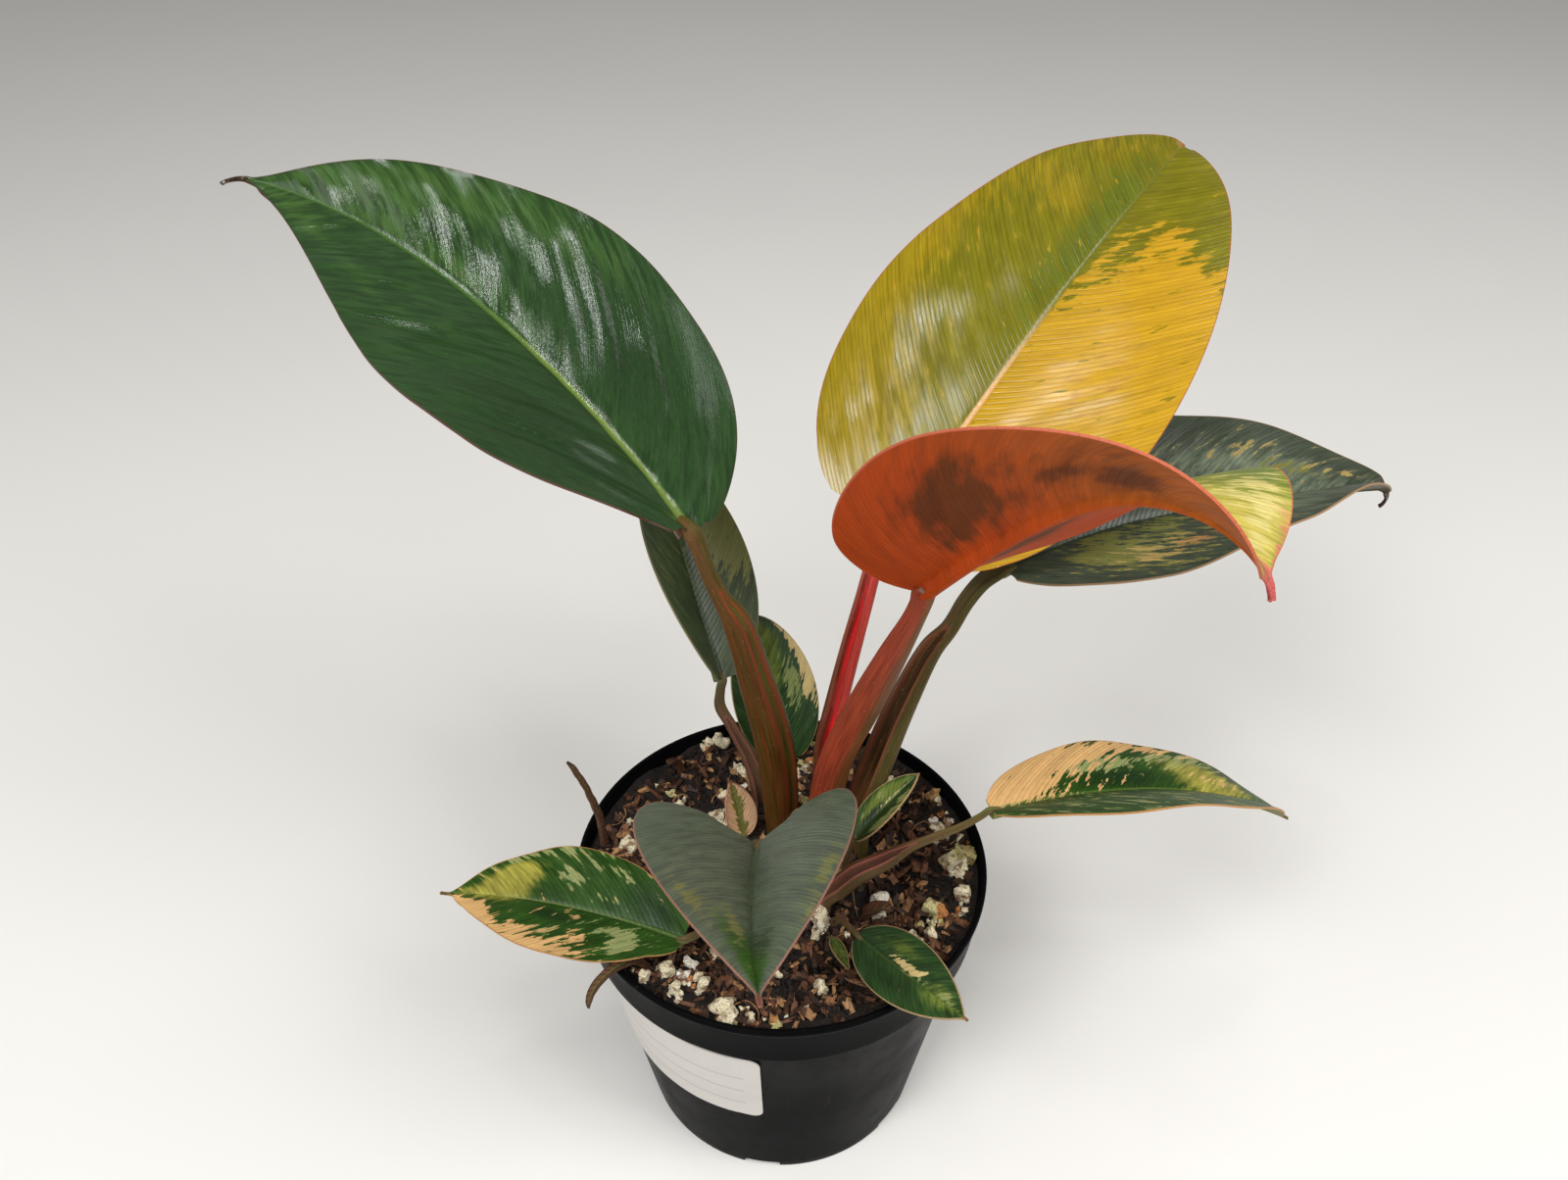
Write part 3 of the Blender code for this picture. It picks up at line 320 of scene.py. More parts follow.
LEAVES = (
    Leaf("blade_left", (-0.0207, 0.0117, 0.1796), 132, 29, 0.147, 0.039, GLOSSY_GREEN, turn=30,
         droop=25, droop_power=2.9, roll=18, twist=-60, fold=19, curl=-12, sweep_tip=0, base_taper=0.73,
         tip_taper=1.3, wave=0.0008, rows=170, columns=64, rib_depth=0.0026, rib_width=0.0013,
         tip_share=0.035, tip_width=0.0011, hook=20, hook_turn=35, lean=48, vein_spacing=0.0095,
         vein_relief=0.00012, quilt=0.0011, marks=marked(
             light=[(0.62, -0.1, 0.5, 0.12, 0.5), (0.8, -0.55, 0.22, 0.4, 0.8),
                    (0.9, 0.45, 0.1, 0.4, 0.9), (0.55, -0.8, 0.3, 0.2, 0.5),
                    (0.66, 0.62, 0.16, 0.1, 0.35), (0.48, 0.4, 0.14, 0.1, 0.3)],
             deep=[(0.3, -0.45, 0.22, 0.4, 0.5), (0.2, 0.55, 0.3, 0.5, 0.5)])),
    Leaf("blade_back", (0.0254, 0.0184, 0.1753), 42, 38, 0.127, 0.04, OLIVE_GOLD, turn=7, droop=19,
         droop_power=1.6, roll=24, twist=-11, fold=9, curl=-16, sweep_base=2, sweep_tip=33,
         base_taper=0.4, tip_taper=0.71, wave=0.0006, rows=150, columns=64, rib_depth=0.0024,
         rib_width=0.0009, tip_share=0.02, hook=120, lean=38, vein_spacing=0.0075, vein_relief=0.00006,
         quilt=0.0002, slot="leaf_yellow", marks=marked(
             light=[(0.02, 0.8, 0.32, 0.6, 1.1), (0.42, 0.95, 0.26, 0.16, 0.7),
                    (0.7, 0.55, 0.07, 0.4, 0.6), (0.84, 0.75, 0.05, 0.3, 0.5)],
             deep=[(0.62, 0.12, 0.24, 0.18, 0.7, 1), (0.84, 0.3, 0.14, 0.35, 0.5)],
             pale=[(0.22, -0.55, 0.44, 0.8, 1.7, -1), (0.6, -0.62, 0.12, 0.4, 0.9, -1),
                   (0.72, -0.4, 0.05, 0.4, 0.45, -1), (0.86, -0.6, 0.1, 0.45, -0.9, -1),
                   (0.68, -0.3, 0.1, 0.5, -0.5, -1), (0.72, -0.85, 0.08, 0.2, -0.6, -1)],
             sage=[(0.58, -0.3, 0.07, 0.26, 0.62, -1), (0.68, -0.62, 0.07, 0.3, 0.62, -1),
                   (0.5, -0.14, 0.1, 0.14, 0.7, -1), (0.36, -0.06, 0.12, 0.1, 0.7, -1)],
             rose=[(0.4, -0.5, 0.14, 0.22, 0.3, -1), (0.97, 0.3, 0.05, 0.5, 0.4)])),
    Leaf("blade_front", (0.032, -0.0014, 0.173), -72, 48, 0.107, 0.037, BURNT_ORANGE, turn=27,
         droop=101, droop_power=5.0, roll=-3, twist=-41, fold=16, curl=-10, sweep_base=-10,
         sweep_tip=48, lift_left=(16, 1.6), lift_right=(-30, 8), base_taper=0.95, tip_taper=1.1,
         wave=0.0006, rows=150, columns=64, rib_depth=0.0021, rib_width=0.0014, tip_share=0.035,
         tip_width=0.0008, hook=10, lean=42, vein_relief=0.0001, slot="leaf_orange", marks=marked(
             deep=[(0.42, -0.42, 0.1, 0.28, 1.2), (0.5, -0.68, 0.06, 0.14, 0.5),
                   (0.64, -0.38, 0.1, 0.26, 0.65), (0.75, -0.5, 0.05, 0.4, 0.7),
                   (0.2, 0.42, 0.26, 0.16, 0.9), (0.3, -0.22, 0.07, 0.12, 0.5)],
             light=[(0.88, 0.2, 0.2, 1.1, 1.0)],
             pale=[(0.78, 0.7, 0.12, 0.24, 0.8, 1), (0.92, 0.3, 0.05, 0.3, 0.6)],
             sage=[(0.68, 0.86, 0.14, 0.12, 0.6, 1)],
             rose=[(1.0, 0, 0.035, 1.0, 1.3), (0.9, 0.95, 0.1, 0.1, 0.6, 1)])),
    Leaf("blade_right", (0.0527, 0.017, 0.1653), 37, -1, 0.105, 0.0309, BLUE_GREEN, turn=-45, droop=-9,
         droop_power=1.0, roll=25, twist=-46, fold=27, curl=-10, sweep_base=-3, base_taper=0.73,
         tip_taper=0.75, wave=0.0008, rows=140, columns=56, rib_depth=0.002, rib_width=0.0012,
         tip_share=0.05, tip_width=0.001, hook=150, lean=44, vein_relief=0.0003, marks=marked(
             sage=[(0.22, -0.45, 0.09, 0.3, 0.85, -1), (0.36, -0.62, 0.16, 0.34, 0.5, -1),
                   (0.45, -0.2, 0.16, 0.16, 0.42, -1), (0.3, -0.1, 0.2, 0.08, 0.4, -1),
                   (0.78, 0.42, 0.1, 0.16, 0.55, 1)],
             pale=[(0.3, -0.62, 0.12, 0.2, 0.5, -1), (0.84, 0.5, 0.05, 0.08, 0.5, 1),
                   (0.68, 0.62, 0.14, 0.1, 0.42, 1), (0.9, 0.46, 0.03, 0.08, 0.6, 1)],
             rose=[(0.4, -0.66, 0.1, 0.12, 0.46, -1)],
             light=[(0.72, -0.3, 0.2, 0.7, 0.8), (0.62, 0.45, 0.3, 0.3, 0.5)])),
    Leaf("blade_heart", (-0.0057, -0.0199, 0.1099), -94, 24, 0.07, 0.0307, GREY_GREEN, turn=11,
         droop=-1, roll=8, twist=-10, fold=42, curl=-10, sweep_base=-21, sweep_tip=21, base_taper=0.75,
         tip_taper=1.3, rows=120, columns=56, rib_depth=0.0018, rib_width=0.001, tip_share=0.04, hook=5,
         lean=46, vein_relief=0.00006, quilt=0.0003, marks=marked(
             light=[(0.88, -0.02, 0.14, 0.45, 1.1), (0.7, -0.25, 0.1, 0.3, 0.6)],
             pale=[(0.65, -0.7, 0.1, 0.16, 0.7, -1), (0.66, -0.2, 0.14, 0.12, 0.72, -1),
                   (0.6, 0.85, 0.09, 0.14, 0.75, 1), (0.74, 0.92, 0.05, 0.1, 0.56, 1)],
             sage=[(0.62, -0.55, 0.12, 0.3, 0.4, -1), (0.62, 0.75, 0.12, 0.24, 0.42, 1)],
             deep=[(0.74, 0.15, 0.12, 0.25, 0.7), (0.3, 0, 0.22, 0.25, 0.4)])),
    Leaf("blade_low_left", (-0.0239, -0.0311, 0.0886), 159, 4, 0.063, 0.0165, PEACH_MARBLE, turn=13,
         droop=13, droop_power=1.4, roll=-13, twist=10, sweep_base=18, sweep_tip=25, base_taper=0.66,
         tip_taper=1.07, wave=0.0004, rib_width=0.0006, rows=120, columns=44, vein_relief=0.0001,
         quilt=0.0004, marks=marked(
             pale=[(0.85, 0.75, 0.11, 0.38, 1.5, 1), (0.52, 0.97, 0.28, 0.18, 1.0, 1),
                   (0.32, 0.62, 0.1, 0.14, 0.75, 1), (0.58, 0.72, 0.1, 0.16, 0.5, 1),
                   (0.4, 0.2, 0.05, 0.05, 0.7, 1)],
             sage=[(0.16, 0.55, 0.08, 0.32, 0.75, 1), (0.28, 0.28, 0.12, 0.2, 0.45, 1),
                   (0.42, 0.66, 0.14, 0.16, 0.5, 1), (0.47, -0.5, 0.07, 0.14, 0.85, -1),
                   (0.31, -0.22, 0.06, 0.08, 0.6, -1), (0.55, -0.95, 0.26, 0.1, 0.6, -1),
                   (0.3, -0.75, 0.14, 0.1, 0.5, -1)],
             light=[(0.74, -0.3, 0.12, 0.3, 0.9, -1), (0.68, -0.62, 0.1, 0.24, 1.0, -1),
                    (0.78, -0.05, 0.1, 0.4, 0.7), (0.92, 0, 0.1, 0.8, 0.35)],
             deep=[(0.12, -0.35, 0.16, 0.5, 0.7), (0.5, 0.28, 0.14, 0.16, 0.7),
                   (0.58, -0.2, 0.16, 0.2, 0.5)])),
    Leaf("blade_low_right", (0.0513, -0.0113, 0.113), 17, -1, 0.085, 0.0198, PEACH_MARBLE, turn=-12,
         droop=33, droop_power=1.8, roll=-14, twist=-10, fold=21, curl=-15, sweep_base=-5, sweep_tip=33,
         base_taper=0.76, tip_taper=0.91, wave=0.0004, rows=110, columns=40, rib_width=0.0009,
         marks=marked(
             pale=[(0.08, 0.75, 0.2, 0.75, 1.6, 1), (0.3, 0.72, 0.16, 0.18, 0.75, 1),
                   (0.5, 0.92, 0.16, 0.12, 0.8, 1), (0.74, 0.42, 0.1, 0.22, 0.48, 1)],
             sage=[(0.32, 0.55, 0.22, 0.22, 0.95, 1), (0.66, 0.8, 0.12, 0.18, 0.7, 1),
                   (0.3, -0.5, 0.5, 0.6, 0.3, -1)],
             light=[(0.74, 0.32, 0.12, 0.4, 1.3), (0.6, 0.62, 0.1, 0.2, 0.5, 1)],
             deep=[(0.42, 0.22, 0.2, 0.26, 0.8, 1), (0.8, 0.92, 0.08, 0.14, 0.9, 1)])),
    Leaf("blade_small_front", (0.019, -0.0281, 0.0862), -53, 12, 0.037, 0.0088, CREAM_MARBLE, turn=1,
         droop=-1, roll=24, twist=3, fold=19, curl=-15, sweep_base=4, sweep_tip=34, base_taper=0.64,
         tip_taper=0.95, rows=70, columns=28, rib_depth=0.001, rib_width=0.0005, vein_spacing=0.005,
         marks=marked(
             pale=[(0.44, 0.16, 0.12, 0.12, 1.15), (0.6, 0.34, 0.1, 0.15, 0.62)],
             sage=[(0.5, 0.2, 0.2, 0.26, 0.62), (0.84, 0.15, 0.1, 0.4, 0.6)],
             light=[(0.8, 0, 0.2, 0.6, 0.8), (0.3, 0.5, 0.2, 0.3, 0.5)],
             deep=[(0.35, -0.5, 0.3, 0.3, 0.6)])),
    Leaf("blade_behind_left", (-0.016, 0.0324, 0.1173), 115, 38, 0.065, 0.0178, SAGE_MARBLE, turn=-5,
         droop=-12, roll=26, twist=-29, fold=42, curl=-16, sweep_base=-4, sweep_tip=33, base_taper=0.61,
         tip_taper=0.8, rib_width=0.0008, marks=marked(
             pale=[(0.52, -0.8, 0.16, 0.4, 1.4, -1), (0.66, -0.55, 0.12, 0.24, 0.7, -1)],
             light=[(0.75, -0.2, 0.2, 0.5, 0.7), (0.5, 0.5, 0.3, 0.3, 0.3)])),
    Leaf("blade_behind", (0.0027, 0.0405, 0.08), 126, 66, 0.045, 0.0132, CREAM_MARBLE, droop=2,
         roll=-10, fold=15, curl=-20, base_taper=0.55, tip_taper=0.8, rib_depth=0.001, rib_width=0.0007,
         marks=marked(
             pale=[(0.62, -0.95, 0.26, 0.14, 1.1, -1), (0.4, -0.8, 0.16, 0.16, 0.6, -1)],
             sage=[(0.5, -0.55, 0.14, 0.2, 0.6, -1), (0.38, -0.35, 0.2, 0.2, 0.42, -1)],
             light=[(0.6, 0.25, 0.22, 0.5, 1.2), (0.82, -0.1, 0.14, 0.6, 1.2)],
             deep=[(0.22, 0.1, 0.2, 0.5, 0.6)])),
    Leaf("blade_small_right", (0.0189, -0.0021, 0.0925), 30, 40, 0.0233, 0.0058, CREAM_MARBLE, droop=8,
         roll=-12, fold=22, rows=54, columns=24, rib_depth=0.0009, rib_width=0.0004, vein_spacing=0.004,
         vein_relief=0.00005, marks=marked(
             light=[(0.55, 0.35, 0.4, 0.5, 1.3, 1)],
             sage=[(0.42, 0.55, 0.3, 0.3, 0.5, 1), (0.5, -0.8, 0.5, 0.3, 0.85, -1)],
             pale=[(0.6, 0.12, 0.2, 0.08, 0.6)],
             deep=[(0.32, 0.15, 0.3, 0.3, 0.8), (0.85, 0.05, 0.12, 0.4, 0.6)])),
    Leaf("blade_bud", (-0.0102, 0.0135, 0.0765), 125, 68, 0.0165, 0.0051, PINK_STRIPE, fold=10, curl=25,
         sweep_tip=20, rows=40, columns=20, rib_depth=0.0008, rib_width=0.0005, vein_spacing=0.004,
         vein_relief=0.00003, slot="leaf_pink", marks=marked(
             pale=[(0.4, -0.8, 0.6, 0.46, 1.6, -1), (0.4, 0.8, 0.6, 0.46, 1.6, 1)],
             deep=[(0.4, 0, 0.5, 0.3, 0.5)])),
    Leaf("blade_seedling", (0.0128, -0.0217, 0.0775), -72, 16, 0.012, 0.0018, CREAM_MARBLE, droop=10,
         sweep_tip=15, rows=30, columns=12, rib_depth=0.0006, rib_width=0.0003, vein_spacing=0.004,
         vein_relief=0.00002, marks=marked(
             light=[(0.5, 0.0, 0.8, 1.0, 0.8)])),
)


@dataclass
class Stalk:
    """A leaf stalk: its path, half widths, sheath and colours.

    The sheath is open along a groove. Its mouth and seam are the half width and place of
    that groove across the stalk, in half widths: a small mouth is a closed seam. Main is the
    colour on the left of the heading, flank on the right.
    """

    name: str
    leaf: str
    path: tuple
    half_widths: tuple
    sheath_end: float = 0.0
    groove: float = 0.0
    mouth: float = 0.5
    seam: float = 0.0
    seam_top: float = 0.0
    ridge: float = 0.12
    main: tuple = tone(108, 92, 60)
    shade: tuple = tone(88, 62, 40)
    flank: tuple = tone(104, 84, 52)
    inside: tuple = tone(84, 40, 30)
    lining: tuple = tone(104, 62, 44)
    edge: tuple = tone(130, 76, 60)
    top: tuple = tone(104, 100, 66)
    scar: float = 0.0
    slot: str = "stalk_olive"
    depth_share: float = 0.72


STALKS = (
    Stalk("stalk_left", "blade_left",
          ((0.0008, 0.0175, 0.07), (-0.0002, 0.0168, 0.094), (-0.0023, 0.0154, 0.1134),
           (-0.0062, 0.0143, 0.1325), (-0.0101, 0.0134, 0.1499), (-0.0137, 0.0129, 0.1583),
           (-0.0167, 0.0124, 0.1664), (-0.0187, 0.012, 0.1742)),
          (0.0052, 0.0059, 0.0057, 0.005, 0.0041, 0.0026, 0.0022, 0.0023), sheath_end=0.6, groove=0.1,
          mouth=0.3, seam=-0.42, seam_top=-0.1, ridge=0.04, main=tone(78, 60, 22),
          shade=tone(98, 54, 22), flank=tone(72, 66, 20), inside=tone(70, 78, 26),
          lining=tone(84, 62, 26), edge=tone(140, 54, 34), top=tone(98, 70, 38)),
    Stalk("stalk_back", "blade_back",
          ((0.011, 0.0236, 0.07), (0.0112, 0.0229, 0.09), (0.0118, 0.0221, 0.1024),
           (0.014, 0.0214, 0.1173), (0.017, 0.0204, 0.1359), (0.02, 0.0195, 0.1532),
           (0.0222, 0.0189, 0.1654)),
          (0.0034, 0.0036, 0.0036, 0.0034, 0.0031, 0.0027, 0.0025), sheath_end=0.74, groove=0.5,
          mouth=0.34, seam=-0.25, seam_top=0.1, main=tone(136, 70, 48), shade=tone(100, 54, 32),
          flank=tone(196, 64, 58), inside=tone(226, 40, 44), lining=tone(190, 60, 56),
          edge=tone(120, 50, 40), top=tone(200, 84, 74), depth_share=0.8, slot="stalk_red"),
    Stalk("stalk_front", "blade_front",
          ((0.0103, 0.0145, 0.07), (0.0113, 0.0127, 0.087), (0.0139, 0.0089, 0.1102),
           (0.0199, 0.0054, 0.1316), (0.026, 0.0024, 0.1509), (0.0301, 0.0004, 0.1634),
           (0.0316, -0.0004, 0.169)),
          (0.0046, 0.0048, 0.005, 0.0052, 0.0043, 0.0032, 0.003), sheath_end=0.72, groove=0.08,
          mouth=0.2, seam=-0.1, seam_top=0.1, ridge=0.05, main=tone(100, 72, 36),
          shade=tone(112, 62, 34), flank=tone(150, 56, 38), inside=tone(176, 78, 46),
          lining=tone(140, 78, 38), edge=tone(176, 84, 60), top=tone(124, 78, 48), scar=0.8,
          slot="stalk_red"),
    Stalk("stalk_right", "blade_right",
          ((0.0201, 0.0115, 0.07), (0.0204, 0.0121, 0.087), (0.0251, 0.0133, 0.1059),
           (0.0302, 0.0144, 0.1235), (0.0362, 0.0155, 0.1401), (0.041, 0.0159, 0.1478),
           (0.0444, 0.0164, 0.1556), (0.0482, 0.0168, 0.1616)),
          (0.0044, 0.0048, 0.005, 0.0044, 0.0034, 0.0025, 0.0024, 0.0024), sheath_end=0.56, groove=0.5,
          mouth=0.52, seam=0.12, main=tone(86, 70, 38), shade=tone(84, 50, 28), flank=tone(78, 72, 36),
          inside=tone(66, 44, 24), lining=tone(96, 66, 36), edge=tone(128, 70, 50),
          top=tone(84, 80, 50)),
    Stalk("stalk_heart", "blade_heart",
          ((-0.003, 0.0, 0.062), (-0.003, 0.0, 0.0765), (-0.0028, -0.004, 0.088),
           (-0.0038, -0.011, 0.1005), (-0.0052, -0.0165, 0.1077)),
          (0.0019, 0.0019, 0.0018, 0.0016, 0.0015)),
    Stalk("stalk_low_left", "blade_low_left",
          ((-0.0158, -0.0185, 0.062), (-0.0158, -0.0185, 0.0762), (-0.0185, -0.0224, 0.0815),
           (-0.0208, -0.0275, 0.086)),
          (0.0014, 0.0014, 0.0012, 0.0011), main=tone(130, 112, 76)),
    Stalk("stalk_low_right", "blade_low_right",
          ((0.0105, -0.0092, 0.062), (0.0107, -0.0092, 0.0765), (0.015, -0.0095, 0.0828),
           (0.0195, -0.0099, 0.0885), (0.0262, -0.0101, 0.0933), (0.0333, -0.0105, 0.0995),
           (0.044, -0.0109, 0.1063), (0.0485, -0.0112, 0.1102)),
          (0.0032, 0.0032, 0.0035, 0.0034, 0.0028, 0.0015, 0.0011, 0.001), sheath_end=0.56, groove=0.25,
          mouth=0.45, main=tone(104, 80, 50), shade=tone(110, 66, 50), flank=tone(100, 84, 54),
          inside=tone(110, 70, 56), lining=tone(92, 64, 46), edge=tone(176, 104, 92),
          top=tone(110, 112, 58)),
    Stalk("stalk_small_front", "blade_small_front",
          ((0.0136, -0.0152, 0.062), (0.0136, -0.0152, 0.0762), (0.0152, -0.019, 0.081),
           (0.0178, -0.0255, 0.085)),
          (0.0012, 0.0012, 0.001, 0.0008), main=tone(126, 104, 74)),
    Stalk("stalk_behind_left", "blade_behind_left",
          ((-0.006, 0.028, 0.062), (-0.006, 0.028, 0.0775), (-0.0088, 0.0295, 0.09),
           (-0.0137, 0.0307, 0.1015), (-0.0167, 0.0314, 0.1082), (-0.0166, 0.0318, 0.1135)),
          (0.0026, 0.0026, 0.0022, 0.0016, 0.0016, 0.0014), sheath_end=0.5, groove=0.2, mouth=0.55,
          main=tone(112, 84, 62), shade=tone(104, 68, 54), flank=tone(104, 84, 56),
          inside=tone(106, 74, 58), lining=tone(92, 78, 50), edge=tone(160, 100, 90),
          top=tone(96, 104, 68), slot="stalk_mauve"),
    Stalk("stalk_behind", "blade_behind",
          ((0.0037, 0.0395, 0.062), (0.0037, 0.0395, 0.07), (0.0036, 0.0395, 0.0765)),
          (0.0013, 0.0013, 0.0012)),
    Stalk("stalk_small_right", "blade_small_right",
          ((0.0166, -0.0008, 0.062), (0.0166, -0.0008, 0.0765), (0.0172, -0.0016, 0.085)),
          (0.0011, 0.0011, 0.0009)),
    Stalk("stalk_bud", "blade_bud",
          ((-0.0102, 0.0135, 0.062), (-0.0102, 0.0135, 0.068), (-0.0102, 0.0135, 0.0735)),
          (0.0011, 0.0011, 0.001), main=tone(150, 120, 92), slot="stalk_mauve"),
    Stalk("stalk_seedling", "blade_seedling",
          ((0.012, -0.0207, 0.062), (0.012, -0.0207, 0.07), (0.012, -0.0207, 0.0762)),
          (0.0006, 0.0006, 0.0006)),
)

DRY_SKIN = Skin(
    green=tone(96, 62, 40), light=tone(140, 100, 66), deep=tone(58, 36, 24), pale=tone(150, 116, 82),
    rose=tone(110, 60, 40), rib=tone(84, 54, 36), margin=tone(60, 38, 26), under=tone(86, 56, 36),
    under_deep=tone(56, 36, 24), tip=tone(56, 36, 24), roughness=0.72, vein_shade=0.7)


def dry_scale(name, base, heading, rise, length, half_width, **shape):
    """A narrow dry sheath, made by the leaf formula without veins."""
    return Leaf(name, base, heading, rise, length, half_width, DRY_SKIN, sweep_tip=0,
                rib_depth=0.0009, rib_width=0.0006, vein_relief=0.0, slot="dry_brown", **shape)


DRY_SCALES = (
    dry_scale("dry_scale_left", (-0.0476, 0.0068, 0.0755), 162, 90, 0.034, 0.0011, droop=32,
              droop_power=1.5, fold=30, curl=30, base_taper=0.25, tip_taper=0.3, rows=60, columns=10,
              crumple=0.0004),
    dry_scale("dry_scale_back", (-0.029, 0.037, 0.0757), 205, 86, 0.013, 0.0016, turn=60, droop=60,
              fold=30, curl=30, base_taper=0.25, tip_taper=0.3, rows=40, columns=12, crumple=0.0005),
    dry_scale("dry_scale_front", (-0.0323, -0.0306, 0.0735), -137, 85, 0.03, 0.0014, droop=165,
              droop_power=1.4, fold=25, curl=20, base_taper=0.25, tip_taper=0.3, rows=60, columns=10,
              crumple=0.0003),
    dry_scale("dry_scale_centre", (0.0208, -0.0122, 0.07), -25, 86, 0.0145, 0.0026, droop=75, fold=25,
              curl=20, base_taper=0.3, tip_taper=0.35, rows=44, columns=20, crumple=0.0006),
)


# Settings

class PotSettings(bpy.types.PropertyGroup):
    """The nursery pot and its sticker."""

    sides: bpy.props.IntProperty(
        name="Sides", description="Facets round the pot", default=144, min=24, max=360)
    edge_round: bpy.props.FloatProperty(
        name="Edge rounding", description="Radius of the pot's rim and band edges", default=0.0004,
        min=0.0, unit="LENGTH")
    plastic: bpy.props.FloatVectorProperty(
        name="Plastic", description="Colour of the pot", size=3, subtype="COLOR",
        default=tone(9, 9, 10), min=0.0, max=1.0)
    sticker: bpy.props.FloatVectorProperty(
        name="Sticker", description="Colour of the plain label", size=3, subtype="COLOR",
        default=tone(198, 194, 188), min=0.0, max=1.0)
    sticker_thickness: bpy.props.FloatProperty(
        name="Sticker thickness", description="Thickness of the label", default=0.00035, min=0.0001,
        unit="LENGTH")


class SoilSettings(bpy.types.PropertyGroup):
    """The potting mix."""

    bark_count: bpy.props.IntProperty(
        name="Bark chips", description="Number of bark chips", default=1450, min=0)
    crumb_count: bpy.props.IntProperty(
        name="Crumbs", description="Number of dark crumbs", default=2600, min=0)
    perlite_count: bpy.props.IntProperty(
        name="Perlite", description="Number of pale grains", default=260, min=0)
    fibre_count: bpy.props.IntProperty(
        name="Fibres", description="Number of fine root fibres", default=70, min=0)
    earth: bpy.props.FloatVectorProperty(
        name="Earth", description="Colour of the peat", size=3, subtype="COLOR",
        default=tone(24, 17, 13), min=0.0, max=1.0)
    bark: bpy.props.FloatVectorProperty(
        name="Bark", description="Colour of the bark chips", size=3, subtype="COLOR",
        default=tone(112, 73, 48), min=0.0, max=1.0)
    perlite: bpy.props.FloatVectorProperty(
        name="Perlite", description="Colour of the pale grains", size=3, subtype="COLOR",
        default=tone(222, 210, 178), min=0.0, max=1.0)


class LeafSettings(bpy.types.PropertyGroup):
    """What all the leaf blades share."""

    thickness: bpy.props.FloatProperty(
        name="Thickness", description="Thickness of a blade away from its midrib", default=0.0005,
        min=0.0002, unit="LENGTH")
    margin_width: bpy.props.FloatProperty(
        name="Margin", description="Width of the coloured margin, in millimetres", default=0.32,
        min=0.0)
    groove_depth: bpy.props.FloatProperty(
        name="Midrib groove", description="Depth of the groove above the midrib", default=0.00035,
        min=0.0, unit="LENGTH")


class StageSettings(bpy.types.PropertyGroup):
    """The floor and the lights."""

    floor: bpy.props.FloatVectorProperty(
        name="Floor", description="Colour of the floor", size=3, subtype="COLOR",
        default=tone(226, 224, 220), min=0.0, max=1.0)
    gloss_lamp: bpy.props.FloatProperty(
        name="Gloss lamps", description="Power of each small lamp that shows in the gloss", default=0.5,
        min=0.0, unit="POWER")
    key: bpy.props.FloatProperty(
        name="Key lights", description="Power of the softboxes high at left and right", default=11.0,
        min=0.0, unit="POWER")
    sides: bpy.props.FloatProperty(
        name="Side lights", description="Power of the softboxes at the sides", default=8.0, min=0.0,
        unit="POWER")
    surround: bpy.props.FloatProperty(
        name="Surround", description="Strength of the even light all round", default=0.28, min=0.0)


# Materials

NOISE_LOW = 0.3
NOISE_HIGH = 0.7
LINE_WANDER = 5.0
SCAR_GREY = tone(150, 132, 116)
STALK_FLECK = tone(184, 152, 112)
SPLIT_WOOD = tone(158, 118, 78)
ALGAE = tone(176, 168, 96)
CHALK = tone(232, 228, 216)
RUST_GRAIN = tone(178, 118, 66)
PEAT_STAIN = tone(108, 74, 42)
DUST = tone(96, 90, 82)
SCUFF = tone(110, 106, 100)
SMUDGE = tone(186, 180, 170)
RULE_GREY = tone(150, 150, 152)
CROWN_BROWN = tone(58, 40, 28)


def dimmed(colour, share):
    """A colour multiplied by a share."""
    return tuple(share * part for part in colour)


